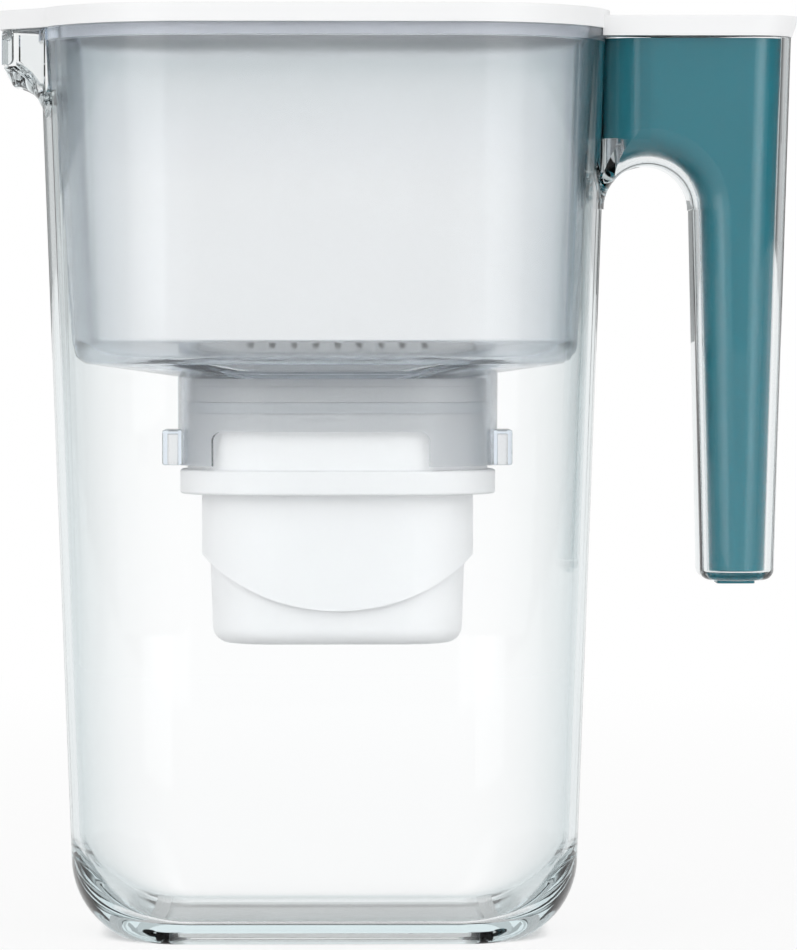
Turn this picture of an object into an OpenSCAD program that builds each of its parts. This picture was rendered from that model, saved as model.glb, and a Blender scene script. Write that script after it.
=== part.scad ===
// Water filter pitcher with a flip lid: a clear jug with a cored handle, a hopper
// that hangs in its rim, a filter cartridge pushed into the hopper from below, and
// a white lid with a filling flap and a spout flap.
// Millimetres, +Z up. The spout points along -X and the handle along +X.
// The origin is on the table, under the middle of the overall length.

/* [Jug] */
// Length of the jug's body at its rim, outside
body_len = 169.8; // [155:0.1:190]
// Width of the jug's body at its rim, outside
body_wid = 102; // [96:0.5:120]
// Height of the jug's rim above the table
rim_z = 265.6; // [240:0.1:290]
// How far each wall leans in for each millimetre down from the rim
lean = 0.0364; // [0.03:0.0002:0.042]
// Radius of the body's upright corners at the rim
corner_r = 47; // [40:0.5:47]
// Thickness of the jug's walls
wall = 2.6; // [2:0.1:3]
// Radius that sweeps the two ends of the jug into its base, outside
end_sweep_r = 21; // [16:0.5:24]
// Radius that sweeps the two ends of the jug into its floor, inside
inner_sweep_r = 24; // [20:0.5:26]
// Radius along the long edges of the base
side_sweep_r = 2.5; // [1.5:0.1:4]
// Corner radius of the base where it meets the table
foot_corner_r = 12; // [10:0.5:16]
// Height of the jug's inside floor above the table
floor_z = 5.7; // [5.2:0.1:8]
// Depth of the hollow under the base
foot_recess = 3.2; // [2:0.1:3.4]
// Width of the foot that is left round that hollow at the two ends
foot_end_wid = 6; // [4:0.5:9]

/* [Spout] */
// How far the spout stands out from the rim
spout_reach = 10.8; // [9:0.1:14]
// Width of the spout where it leaves the body
spout_root_wid = 36; // [32:0.5:40]
// Width of the spout at its tip
spout_tip_wid = 14; // [13:0.5:17]
// Height of the spout's walls above the rim
spout_rise = 3.1; // [2.8:0.1:3.4]
// Depth of the pouring window, from the top of the spout to its lip
window_drop = 10.3; // [9:0.1:12]
// Depth of the spout's pointed chin, from its top
chin_drop = 16.3; // [15:0.1:18]
// Depth at which the underside of the spout meets the body
root_drop = 22; // [20:0.1:25]
// Thickness of the spout's side walls
spout_wall = 1.8; // [1.5:0.1:2.2]

/* [Handle] */
// How far the handle stands out from the rim
handle_reach = 54.5; // [50:0.5:62]
// Width of the handle across the jug
handle_wid = 38; // [34:0.5:44]
// Corner radius of the handle, seen from above
handle_corner_r = 12; // [10:0.5:12]
// Thickness of the clear shell round the coloured core
shell = 2.6; // [2:0.1:3]
// Width of the finger gap under the arch
finger_gap = 26; // [24:0.5:28]
// Depth of the top of the arch below the rim
arch_drop = 36.6; // [32:0.1:44]
// Length of the handle, from the rim down
handle_drop = 160.2; // [140:0.1:180]
// How far the outer edge of the handle leans in for each millimetre down
outer_lean = 0.0312; // [0.02:0.001:0.035]
// How far the inner edge of the grip leans out for each millimetre down
inner_lean = 0.0232; // [0.015:0.001:0.025]
// Rounding round the bottom of the grip
grip_end_r = 3; // [2:0.1:4]
// Play between the core and the shell, all round
core_play = 0.3; // [0.2:0.05:0.5]
// Thickness of the hollow core's walls
core_wall = 2; // [1.5:0.1:2.5]
// Length of the core's locking tongue at the bottom of the grip
tongue_len = 11.4; // [9:0.1:13]
// Width of the core's locking tongue
tongue_wid = 14; // [10:0.5:18]

/* [Hopper] */
// Gap between the hopper and the jug's wall, at the rim
hopper_gap = 1.2; // [1:0.1:1.6]
// How much that gap grows for each millimetre down
hopper_gap_growth = 0.0217; // [0.01:0.001:0.03]
// Thickness of the hopper's walls
hopper_wall = 2; // [1.6:0.1:2.4]
// Height of the hopper's rim, which sits on the jug's rim
flange_t = 3.6; // [3.2:0.1:4.2]
// Depth of the hopper's lowest floor below the rim, underneath
hopper_drop = 99.8; // [90:0.1:110]
// How much the floor rises from the well to the two ends
floor_rise = 4; // [2:0.1:6]
// Depth of the pouring channel pressed into the hopper's spout end
channel_depth = 5; // [4:0.1:6]
// Radius of that channel
channel_r = 22; // [18:0.5:26]
// Length of the well's skirt, down from the hopper's floor
skirt_drop = 26; // [23:0.1:30]
// Thickness of the skirt
skirt_wall = 2; // [1.6:0.1:2.4]
// Width of the window in each broad side of the skirt
notch_wid = 63.8; // [50:0.1:66]
// Height of that window
notch_h = 10.3; // [8:0.1:12]
// How far the window is set towards the spout from the middle of the well
notch_shift = 4.9; // [0:0.1:5]
// How far the two clips stand out from the skirt
clip_reach = 4.2; // [3.6:0.1:5]
// Width of the two clips
clip_wid = 18; // [14:0.5:22]
// Height of the two clips
clip_h = 10.5; // [8:0.1:12]

/* [Cartridge] */
// How far the middle of the cartridge lies from the middle of the body, towards the handle
cart_shift = 4.2; // [0:0.1:6]
// Length of the cartridge's ring
ring_len = 94.3; // [90:0.1:98]
// Width of the cartridge's ring
ring_wid = 56.4; // [52:0.1:60]
// Height of the cartridge's ring
ring_h = 7.4; // [6:0.1:9]
// Gap between the ring and the skirt above it
ring_gap = 1.2; // [0.6:0.1:1.6]
// How far the cartridge's neck is set in from its ring
neck_inset = 2.2; // [2:0.1:2.8]
// How far the cup under the ring is set in from the ring
cup_inset = 6.5; // [5.5:0.1:7.5]
// Height of the cup below the ring
cup_h = 44.7; // [40:0.1:50]
// How far the lower half of the cup is set in from its upper half
step_inset = 1.7; // [1.2:0.1:2]
// Depth of the step at the two ends of the cup, below the ring
step_drop = 18; // [14:0.1:22]
// Depth of the curved apron in the middle of each broad side, below the ring
apron_drop = 34.3; // [30:0.1:37]
// How much the cup narrows from its step to its bottom, each side
cup_taper = 1.6; // [1:0.1:2]
// Rounding round the bottom of the cup
cup_end_r = 5; // [4:0.5:6]
// Thickness of the cup's walls
cup_wall = 1.6; // [1.4:0.1:1.8]
// Thickness of the neck's wall, with the seal's groove in it
neck_wall = 2.8; // [2.6:0.1:3.2]
// Number of slots in the cap and in the bottom of the cup
slot_count = 9; // [5:2:11]
// Width of each slot
slot_wid = 1.8; // [1.4:0.1:2.4]
// Height of the sealing ring
seal_h = 3.4; // [3:0.1:4]
// Depth of the sealing ring's groove
seal_groove = 1.2; // [1:0.1:1.4]

/* [Lid] */
// Height of the lid's edge
lid_h = 5.6; // [5.4:0.1:7]
// Thickness of the lid's top
lid_t = 2.2; // [2:0.1:2.4]
// Thickness of the lid's edge
lid_wall = 2; // [1.8:0.1:2.4]
// How far the lid's edge stands out past the rim
lid_overhang = 0.6; // [0.4:0.1:1]
// How far the lid reaches past the end of the handle, at its top
lid_lip = 2.5; // [1.5:0.1:3.5]
// How far the cover over the handle lies below the lid
cover_step = 1.8; // [1.4:0.1:2.2]
// Depth of the ring that locates the lid inside the hopper's rim
plug_drop = 3.4; // [3:0.1:3.5]
// Play between that ring and the hopper
plug_play = 0.5; // [0.4:0.1:0.8]
// Length of the filling flap
flap_len = 84; // [70:0.5:90]
// Width of the filling flap
flap_wid = 66; // [56:0.5:70]
// Corner radius of the filling flap
flap_corner_r = 14; // [10:0.5:16]
// How far the middle of the flap lies from the middle of the body, towards the handle
flap_shift = 8; // [4:0.5:12]
// Width of the ledge that the flap rests on
ledge = 3; // [2.5:0.1:4]
// Gap round the flap
flap_gap = 0.5; // [0.4:0.05:0.8]
// Radius of the flap's knuckle
knuckle_r = 1.7; // [1.6:0.05:1.8]
// Length of the flap's knuckle
knuckle_len = 44; // [36:1:46]
// Length of each lid boss that holds an end of the pin
boss_len = 5.6; // [4:0.1:7]
// Radius of the flap's steel pin
pin_r = 0.8; // [0.6:0.05:0.9]
// Running clearance round the pins
pin_play = 0.06; // [0.03:0.01:0.1]
// Radius of the thumb scoop at the flap's free edge
scoop_r = 12; // [9:0.5:14]
// Depth of the thumb scoop
scoop_depth = 1.5; // [1:0.1:1.7]

/* [Spout flap] */
// How far back the flap's cheeks reach from the tip of the spout
cheek = 4.2; // [3.8:0.1:5]
// Thickness of the spout flap
spout_flap_t = 1.2; // [1:0.1:1.4]
// Radius of the spout flap's knuckle
spout_knuckle_r = 1.2; // [1.1:0.05:1.3]
// Radius of the spout flap's pin
spout_pin_r = 0.5; // [0.4:0.05:0.6]
// Gap below and behind the spout flap
spout_flap_gap = 0.6; // [0.5:0.05:0.8]

/* [Hidden] */
$fn = 64;

film = 0.02;        // thickness of the flat sections that a hull joins
over = 1;           // how far a cut runs past the face that it opens
seat = 0.1;         // gap between two pieces that rest on each other
sweep_steps = 7;    // sections along the sweep from the base into the ends
rim_play = 0.3;     // room round the rim for what sits over it
cover_skirt = 0.4;  // how much deeper the edge of the handle's cover is than the lid's

// The body's half length, half width and corner radius at height z
function half_len(z) = body_len / 2 - (rim_z - z) * lean;
function half_wid(z) = body_wid / 2 - (rim_z - z) * lean;
function corner(z) = corner_r - (rim_z - z) * lean;
// How far a quarter round of radius r is set in at height h above its low end
function round_in(h, r) = r - sqrt(r * r - pow(r - min(h, r), 2));

// Heights
flange_top = rim_z + seat + flange_t;
lid_z = flange_top + seat;
lid_top = lid_z + lid_h;
cover_top = lid_top - cover_step;
cover_z = lid_z - cover_step - cover_skirt;
handle_top = cover_z - 2 * seat;
arch_z = rim_z - arch_drop;
grip_z = rim_z - handle_drop;
spout_top = rim_z + spout_rise;
lip_z = spout_top - window_drop;
hopper_z = rim_z - hopper_drop;
skirt_z = hopper_z - skirt_drop;

// Places along X, measured from the middle of the body
tip_x = -(body_len / 2 + spout_reach);
handle_x = body_len / 2 + handle_reach;
nose_x = tip_x - lid_overhang / 2;
cover_x = handle_x + lid_lip;
grip_x = half_len(arch_z) + finger_gap;
mid_x = (nose_x - lid_overhang / 2 + cover_x) / 2;

// Moves what is drawn round the middle of the body into the part's own frame
module in_frame() {
    translate([-mid_x, 0, 0]) children();
}

// Rectangle of half length l and half width w with round corners
module rounded(l, w, r) {
    q = min(r, min(l, w) - 0.05);
    square([2 * l, 2 * (w - q)], center = true);
    square([2 * (l - q), 2 * w], center = true);
    for (sx = [-1, 1], sy = [-1, 1])
        translate([sx * (l - q), sy * (w - q)]) circle(q);
}

// Upright plate of that outline from z0 to z1
module plate(l, w, r, z0, z1) {
    translate([0, 0, z0]) linear_extrude(z1 - z0) rounded(l, w, r);
}

// The jug's form, set in from its outside: base at z0, swept up at the ends
module jug_form(inset, z0, z1, end_r, side_r, base_r) {
    hull() {
        for (i = [0 : sweep_steps]) {
            a = 90 * i / sweep_steps;
            h = end_r * (1 - cos(a));
            z = z0 + h;
            plate(half_len(z) - inset - end_r * (1 - sin(a)),
                  half_wid(z) - inset - round_in(h, side_r),
                  base_r + (corner(z) - inset - base_r) * sin(a), z, z + film);
        }
        plate(half_len(z1) - inset, half_wid(z1) - inset, corner(z1) - inset, z1 - film, z1);
    }
}

// The outline of the jug's rim, grown by grow
module rim_outline(grow) {
    rounded(body_len / 2 + grow, body_wid / 2 + grow, corner_r + grow);
}

// ---- Spout ----

root_depth = 8;                         // how far the spout's solid starts inside the wall
root_x = root_depth - body_len / 2;
chin_back = 3;                          // how far the chin lies behind the tip
lip_lean = 0.3;                         // how far the front leans back between top and lip
// the floor of the channel: how far back from the tip, and how far below the lip
channel_floor = [[4, 0.9], [8, 3.2], [12, 8.2]];
channel_drop = channel_floor[len(channel_floor) - 1][1];

// Half width of the spout at x, between its root and its tip
function spout_half(x) =
    spout_tip_wid / 2
    + (spout_root_wid - spout_tip_wid) / 2 * (x - tip_x) / (-body_len / 2 - tip_x);

// The spout seen from above, set in by inset
module spout_plan(inset) {
    polygon([
        [tip_x + inset, -spout_half(tip_x) + inset],
        [root_x, -spout_half(root_x) + inset],
        [root_x, spout_half(root_x) - inset],
        [tip_x + inset, spout_half(tip_x) - inset]
    ]);
}

// The spout seen from the side: its underside curves down and back into the body
module spout_side() {
    wall_x = -half_len(spout_top - root_drop);
    chin = [tip_x + chin_back, spout_top - chin_drop];
    sag = root_drop - chin_drop;
    sag_r = (pow(wall_x - chin[0], 2) + sag * sag) / (2 * sag);
    difference() {
        polygon([
            [tip_x, spout_top], [tip_x + lip_lean, lip_z - seat], chin,
            [chin[0], spout_top - root_drop], [root_x, spout_top - root_drop], [root_x, spout_top]
        ]);
        translate([chin[0], chin[1] - sag_r]) circle(sag_r);
        translate([chin[0] - sag_r, chin[1] - 2 * sag_r]) square([sag_r, 2 * sag_r]);
    }
}

// The channel inside the spout, seen from the side
module channel_side() {
    polygon([
        [tip_x - over, spout_top + over], [tip_x - over, lip_z],
        for (p = channel_floor) [tip_x + p[0], lip_z - p[1]],
        [root_x + over, lip_z - channel_drop], [root_x + over, spout_top + over]
    ]);
}

// Turns a side view, drawn as X and Z, into a solid that runs along Y
module along_y(wid) {
    translate([0, wid / 2, 0]) rotate([90, 0, 0]) linear_extrude(wid) children();
}

module spout_form() {
    intersection() {
        along_y(spout_root_wid * 2) spout_side();
        translate([0, 0, spout_top - root_drop - over])
            linear_extrude(root_drop + over) spout_plan(0);
    }
}

module spout_channel() {
    intersection() {
        along_y(spout_root_wid * 2) channel_side();
        translate([0, 0, lip_z - root_drop]) linear_extrude(window_drop + root_drop + over)
            spout_plan_open();
    }
}

// The channel seen from above: it runs out through the tip, where the flap closes it
module spout_plan_open() {
    polygon([
        [tip_x - over, -spout_half(tip_x) + spout_wall],
        [tip_x, -spout_half(tip_x) + spout_wall],
        [root_x + over, -spout_half(root_x) + spout_wall],
        [root_x + over, spout_half(root_x) - spout_wall],
        [tip_x, spout_half(tip_x) - spout_wall],
        [tip_x - over, spout_half(tip_x) - spout_wall]
    ]);
}

// The front of the spout up to z1, as far back as the spout flap's cheeks reach
module spout_front(z1) {
    z0 = spout_top - root_drop - over;
    translate([tip_x - over, -spout_root_wid, z0])
        cube([cheek + over, 2 * spout_root_wid, z1 - z0]);
}

// ---- Handle ----

// Section of the handle from x0 to x1, half width w, corner radius r
module bar(x0, x1, w, r, z0, z1) {
    translate([(x0 + x1) / 2, 0, 0]) plate((x1 - x0) / 2, w, r, z0, z1, $fn = 360 / corner_step);
}

// Outer and inner edge of the handle at height z
function outer_x(z) = handle_x - (rim_z - z) * outer_lean;
function inner_x(z) = grip_x + (arch_z - z) * inner_lean;

arch_r = finger_gap / 2;                // radius of the arch over the fingers
spring_z = arch_z - arch_r;             // where the grip starts under the arch
corner_step = 10;                       // angle of each step round the handle's corners
arch_lap = 0.1;                         // how far the arch is cut below its spring
handle_root = 6;                        // how far the handle's solid starts inside the rim
core_drop = 0.4;                        // how far the core's top lies below the shell's
tongue_out = 1.2;                       // how far the tongue stands out of the grip
tongue_corner_r = 2;

// The handle's form, set in by inset, from its top at z1 to its end at grip_z + inset.
// x0 is its end towards the jug.
module handle_form(inset, x0, z1) {
    w = handle_wid / 2 - inset;
    r = handle_corner_r - inset;
    low_z = grip_z + inset;
    end_r = max(grip_end_r - inset, 0.4);
    difference() {
        hull() {
            bar(x0, outer_x(spring_z) - inset, w, r, spring_z, spring_z + film);
            bar(x0, outer_x(z1) - inset, w, r, z1 - film, z1);
        }
        finger_arch(inset);
    }
    hull() {
        grip_section(inset, 0, arch_z + arch_r / 2);
        for (a = [0, 30, 60, 90])
            grip_section(inset, end_r * (1 - sin(a)), low_z + end_r * (1 - cos(a)));
    }
}

module grip_section(inset, more, z) {
    bar(inner_x(z) + inset + more, outer_x(z) - inset - more,
        handle_wid / 2 - inset - more, handle_corner_r - inset - more, z, z + film);
}

// The arch over the fingers, grown by grow, with its edges rounded like the grip's.
// The steps of that rounding lie between the steps of the handle's own corners.
module finger_arch(grow) {
    radius = arch_r + grow;
    r = handle_corner_r - grow;
    flat = handle_wid / 2 - handle_corner_r;
    edge = [for (a = [corner_step / 2 : corner_step : 90])
            [radius + r * (1 - cos(a)), flat + r * sin(a)]];
    out = [radius + r + 2 * over, flat + r + over];
    side = concat(edge, [out, [0, out[1]], [0, -out[1]], [out[0], -out[1]]],
                  [for (i = [len(edge) - 1 : -1 : 0]) [edge[i][0], -edge[i][1]]]);
    translate([grip_x - arch_r, 0, spring_z - arch_lap]) rotate([90, 0, 0])
        rotate_extrude(angle = 180) polygon(side);
}

core_x = body_len / 2 + 0.5;    // where the room for the core starts, past the jug's wall

module tongue_slot(grow, z0, z1) {
    mid = (inner_x(grip_z) + outer_x(grip_z)) / 2;
    bar(mid - tongue_len / 2 - grow, mid + tongue_len / 2 + grow,
        tongue_wid / 2 + grow, tongue_corner_r, z0, z1);
}

// ---- The clear jug: its body, spout, lip and handle shell are one moulding ----

module clear() {
    color([0.80, 0.88, 0.90, 0.35]) in_frame() children();
}

// The outside of the jug's body up to z1, and the room over its rim for the hopper's rim
module jug_outside(z1) {
    jug_form(0, 0, z1, end_sweep_r, side_sweep_r, foot_corner_r);
}

module rim_room() {
    translate([0, 0, rim_z]) linear_extrude(2 * flange_t) rim_outline(rim_play);
}

module jug() {
    clear() difference() {
        jug_outside(rim_z);
        jug_form(wall, floor_z, rim_z + 2 * flange_t, inner_sweep_r, side_sweep_r,
                 foot_corner_r - wall);
        // hollow under the base
        plate(half_len(0) - end_sweep_r - foot_end_wid, half_wid(0) - side_sweep_r - wall,
              foot_corner_r - wall, -over, foot_recess);
        spout_channel();
    }
}

// The walls and the floor of the spout, behind the flap
module spout() {
    clear() difference() {
        spout_form();
        jug_outside(rim_z + over);
        rim_room();
        spout_channel();
        spout_front(spout_top + over);
    }
}

// The lip and the chin of the spout, under the flap
module spout_lip() {
    clear() difference() {
        intersection() {
            spout_form();
            spout_front(lip_z);
        }
        spout_channel();
    }
}

module handle_shell() {
    clear() difference() {
        handle_form(0, body_len / 2 - handle_root, handle_top);
        jug_outside(rim_z + over);
        rim_room();
        // room for the core, open at the top
        handle_form(shell, core_x, handle_top + over);
        tongue_slot(core_play, grip_z - over, grip_z + 2 * shell);
    }
}

// ---- The coloured core that slides into the handle from above ----

module handle_core() {
    inset = shell + core_play;
    top = handle_top - core_drop;
    color([0.25, 0.47, 0.51]) in_frame() {
        difference() {
            handle_form(inset, core_x + core_play, top);
            handle_form(inset + core_wall, core_x + core_play + core_wall, top + over);
        }
        tongue_slot(0, grip_z - tongue_out, grip_z + inset + over);
    }
}

// ---- Hopper ----

function gap_at(z) = hopper_gap + (rim_z - z) * hopper_gap_growth;
function hopper_len(z) = half_len(z) - wall - gap_at(z);
function hopper_wid(z) = half_wid(z) - wall - gap_at(z);
function hopper_corner(z) = corner(z) - wall - gap_at(z);

neck_len = ring_len / 2 - neck_inset;   // half length of the cartridge's neck
neck_wid = ring_wid / 2 - neck_inset;   // half width of the cartridge's neck
well_play = 1;                          // play between the neck and the skirt
well_len = neck_len + well_play;
well_wid = neck_wid + well_play;
mouth_in = 4;                           // how far the well's mouth is set in from the skirt
floor_len = 40;                         // half length of the level part of the hopper's floor
floor_in = 4;                           // how far the level floor is set in from the walls
floor_corner_r = 22;                    // corner radius of the level part of the floor
turn_h = 6;                             // height of the turn from the floor into the walls
floor_cut = 0.5;                        // how far below the end of that turn the walls start
window_r = 3;                           // corner radius of the skirt's windows
clip_t = 1.4;                           // thickness of the clips' walls

// The hopper's form, set in from its outside, with its low floor at z0
module hopper_form(inset, z0, z1) {
    hull() {
        plate(floor_len, hopper_wid(z0) - inset - floor_in, floor_corner_r, z0, z0 + film);
        for (a = [0, 30, 60, 90]) {
            z = z0 + floor_rise + turn_h * (1 - cos(a));
            d = inset + turn_h * (1 - sin(a));
            plate(hopper_len(z) - d, hopper_wid(z) - d, hopper_corner(z) - d, z, z + film);
        }
        plate(hopper_len(z1) - inset, hopper_wid(z1) - inset, hopper_corner(z1) - inset,
              z1 - film, z1);
    }
}

// The round channel in the spout end of the hopper, grown by grow
module pour_channel(grow, z0, z1) {
    axis_x = -(hopper_len(rim_z) + channel_r - channel_depth);
    deep_r = channel_r + hopper_len(rim_z) - hopper_len(z0);
    translate([axis_x, 0, z0]) cylinder(z1 - z0, deep_r + grow, channel_r + grow);
}

module well_outline(grow) {
    translate([cart_shift, 0]) rounded(well_len + grow, well_wid + grow, well_wid + grow);
}

module skirt_window() {
    r = window_r;
    translate([cart_shift - notch_shift, skirt_z]) {
        translate([-notch_wid / 2, -over]) square([notch_wid, notch_h + over - r]);
        translate([-notch_wid / 2 + r, 0]) square([notch_wid - 2 * r, notch_h]);
        for (s = [-1, 1])
            translate([s * (notch_wid / 2 - r), notch_h - r]) circle(r);
    }
}

// Hooded clip at an end of the skirt: s is -1 at the spout and 1 at the handle
module clip(s) {
    t = clip_t;
    depth = clip_reach + skirt_wall;
    translate([cart_shift + s * (well_len + depth / 2), 0, skirt_z]) difference() {
        translate([-depth / 2, -clip_wid / 2, 0]) cube([depth, clip_wid, clip_h]);
        translate([-depth / 2 + (s < 0 ? t : skirt_wall), -clip_wid / 2 + t, -over])
            cube([depth - t - skirt_wall, clip_wid - 2 * t, clip_h - t + over]);
    }
}

// The outside of the tank, up to the underside of its rim
module hopper_outside() {
    difference() {
        hopper_form(0, hopper_z, rim_z + seat);
        pour_channel(0, hopper_z - over, rim_z + seat + over);
    }
}

// The inside of the tank, open at the top
module hopper_inside() {
    difference() {
        hopper_form(hopper_wall, hopper_z + hopper_wall, flange_top + over);
        pour_channel(hopper_wall, hopper_z - over, flange_top + 2 * over);
    }
}

// All that lies below the walls of the tank
module below_walls() {
    translate([-body_len, -body_wid, hopper_z - over])
        cube([2 * body_len, 2 * body_wid, over + floor_rise + turn_h - floor_cut]);
}

module milky() {
    color([0.84, 0.89, 0.93, 0.45]) in_frame() children();
}

// The walls of the tank
module hopper() {
    milky() difference() {
        hopper_outside();
        hopper_inside();
        below_walls();
    }
}

// The floor of the tank, with the mouth of the well in it
module hopper_floor() {
    milky() difference() {
        intersection() {
            hopper_outside();
            below_walls();
        }
        hopper_inside();
        translate([0, 0, hopper_z - over]) linear_extrude(2 * over + floor_rise + hopper_wall)
            well_outline(-mouth_in);
    }
}

// The rim that the hopper hangs by, which lies on the jug's rim
module hopper_rim() {
    milky() difference() {
        translate([0, 0, rim_z + seat]) linear_extrude(flange_t) rim_outline(0);
        hopper_inside();
    }
}

// The well under the hopper's floor that holds the cartridge, moulded with the hopper
module filter_well() {
    milky() difference() {
        union() {
            translate([0, 0, skirt_z]) linear_extrude(skirt_drop + floor_rise) well_outline(skirt_wall);
            clip(-1);
            clip(1);
        }
        hopper_outside();
        translate([0, 0, skirt_z - over]) linear_extrude(skirt_drop + floor_rise + 2 * over)
            well_outline(0);
        along_y(2 * ring_wid) skirt_window();
    }
}

// ---- Cartridge ----

ring_top = skirt_z - ring_gap;
ring_z = ring_top - ring_h;
cup_z = ring_z - cup_h;
cap_t = 2.4;                            // thickness of the cap's plate
neck_top = hopper_z - seat - cap_t;     // the cap's plate lies just under the hopper's floor
cup_len = ring_len / 2 - cup_inset;
cup_wid = ring_wid / 2 - cup_inset;
low_len = cup_len - step_inset;
low_wid = cup_wid - step_inset;
screen_t = 0.8;                         // thickness of each felt
screen_play = 0.4;                      // gap round the felt under the cap
bed_play = 0.3;                         // gap round the two beds
cap_play = 0.3;                         // gap between the cap's spigot and the neck
spigot_h = 3;
spigot_wall = 1.5;
dome_play = 0.6;                        // gap between the dome and the well's mouth
dome_wall = 1.6;
dome_t = 2;                             // thickness of the dome's top
dome_rise = 4.4;                        // height of the dome above the cap's plate
slot_end_in = 5;                        // how far the slots stop short of the dome's ends
slot_side_in = 8;                       // and of its sides
seal_drop = 4.6;                        // how far the sealing ring lies below the neck's top
seal_squeeze = 0.3;                     // gap that is left between the sealing ring and the skirt
end_steps = [0, 30, 60, 90];            // angles round the bottom edge of the cup
chamber_z = ring_z + 1.8;               // shoulder inside, where the cup widens into the neck
inner_z = cup_z + cup_wall;             // inside floor of the cup
bed_z = inner_z + screen_t + 2 * seat;  // bottom of the resin bed
bed_top = neck_top - spigot_h - 2;      // top of the carbon bed, below the cap's spigot
divider_z = (bed_z + bed_top) / 2;      // felt between the two beds

module stadium(l, w, z0, z1) {
    plate(l, w, w, z0, z1);
}

// The lower half of the cup, set in by inset, from z0 up to z1
module cup_form(inset, z0, z1) {
    end_r = max(cup_end_r - inset, 1);
    l = low_len - inset;
    w = low_wid - inset;
    hull() {
        for (a = end_steps) {
            d = cup_taper + end_r * (1 - sin(a));
            z = z0 + end_r * (1 - cos(a));
            plate(l - d, w - d, w - d, z, z + film);
        }
        stadium(l, w, z1 - film, z1);
    }
}

// The upper half of the cup, with its apron cut off along an arc
module apron() {
    rise = apron_drop - step_drop;
    arc_r = (cup_len * cup_len + rise * rise) / (2 * rise);
    intersection() {
        stadium(cup_len, cup_wid, ring_z - apron_drop - over, ring_z);
        union() {
            along_y(2 * cup_wid + 2 * over)
                translate([0, ring_z - apron_drop + arc_r]) circle(arc_r, $fn = 180);
            stadium(cup_len + over, cup_wid + over, ring_z - step_drop, ring_z);
        }
    }
}

// A row of slots, seen from above, inside half length l and half width w
module slots(l, w) {
    pitch = 2 * (l - w / 2) / slot_count;
    for (i = [-(slot_count - 1) / 2 : (slot_count - 1) / 2])
        translate([i * pitch, 0]) rounded(slot_wid / 2, w, slot_wid / 2);
}

module at_cartridge() {
    in_frame() translate([cart_shift, 0, 0]) children();
}

seal_z = neck_top - seal_drop - seal_h;       // underside of the sealing ring

module cartridge_cup() {
    color("whitesmoke") at_cartridge() difference() {
        union() {
            cup_form(0, cup_z, ring_z + film);
            apron();
            stadium(ring_len / 2, ring_wid / 2, ring_z, ring_top);
            stadium(neck_len, neck_wid, ring_top - film, neck_top);
        }
        // inside, from the floor up through the neck
        cup_form(cup_wall, inner_z, ring_z + film);
        stadium(low_len - cup_wall, low_wid - cup_wall, ring_z, chamber_z + film);
        stadium(neck_len - neck_wall, neck_wid - neck_wall, chamber_z, neck_top + over);
        // groove for the sealing ring
        difference() {
            stadium(neck_len + over, neck_wid + over, seal_z, seal_z + seal_h);
            stadium(neck_len - seal_groove, neck_wid - seal_groove,
                    seal_z - over, seal_z + seal_h + over);
        }
        // outlet slots
        translate([0, 0, cup_z - over]) linear_extrude(cup_wall + 2 * over)
            slots(low_len - cup_end_r - cup_taper, low_wid - cup_end_r - cup_taper);
    }
}

module cartridge_cap() {
    dome_len = well_len - mouth_in - dome_play;
    dome_wid = well_wid - mouth_in - dome_play;
    spigot_len = neck_len - neck_wall - cap_play;
    spigot_wid = neck_wid - neck_wall - cap_play;
    plate_top = neck_top + cap_t;
    color("white") at_cartridge() difference() {
        union() {
            stadium(neck_len, neck_wid, neck_top + seat / 2, plate_top);
            stadium(dome_len, dome_wid, plate_top - film, plate_top + dome_rise);
            stadium(spigot_len, spigot_wid, neck_top - spigot_h, plate_top);
        }
        stadium(spigot_len - spigot_wall, spigot_wid - spigot_wall,
                neck_top - spigot_h - over, neck_top + 4 * seat);
        stadium(dome_len - dome_wall, dome_wid - dome_wall,
                neck_top, plate_top + dome_rise - dome_t);
        translate([0, 0, neck_top]) linear_extrude(cap_t + dome_rise + over)
            slots(dome_len - slot_end_in, dome_wid - slot_side_in);
    }
}

module cartridge_seal() {
    color([0.35, 0.37, 0.4]) at_cartridge() difference() {
        stadium(well_len - seal_squeeze, well_wid - seal_squeeze,
                seal_z + seat, seal_z + seal_h - seat);
        stadium(neck_len - seal_groove + seat, neck_wid - seal_groove + seat,
                seal_z - over, seal_z + seal_h + over);
    }
}

module inlet_screen() {
    color("gainsboro") at_cartridge()
        stadium(neck_len - neck_wall - screen_play, neck_wid - neck_wall - screen_play,
                bed_top + seat, bed_top + seat + screen_t);
}

module outlet_screen() {
    d = cup_taper + cup_end_r;
    color("gainsboro") at_cartridge()
        stadium(low_len - d, low_wid - d, inner_z + seat, inner_z + seat + screen_t);
}

// Filling of the cup between two heights
module bed(z0, z1) {
    intersection() {
        union() {
            cup_form(cup_wall + bed_play, inner_z + 2 * seat, ring_z + film);
            stadium(low_len - cup_wall - bed_play, low_wid - cup_wall - bed_play,
                    ring_z, chamber_z + 3 * seat);
            stadium(neck_len - neck_wall - bed_play, neck_wid - neck_wall - bed_play,
                    chamber_z + 2 * seat, neck_top);
        }
        translate([-ring_len / 2, -ring_wid / 2, z0]) cube([ring_len, ring_wid, z1 - z0]);
    }
}

module resin_bed() {
    color("burlywood") at_cartridge() bed(bed_z, divider_z - seat);
}

module bed_divider() {
    color("white") at_cartridge() bed(divider_z, divider_z + screen_t);
}

module carbon_bed() {
    color([0.12, 0.12, 0.13]) at_cartridge() bed(divider_z + screen_t + seat, bed_top);
}

// ---- Lid ----

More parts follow.
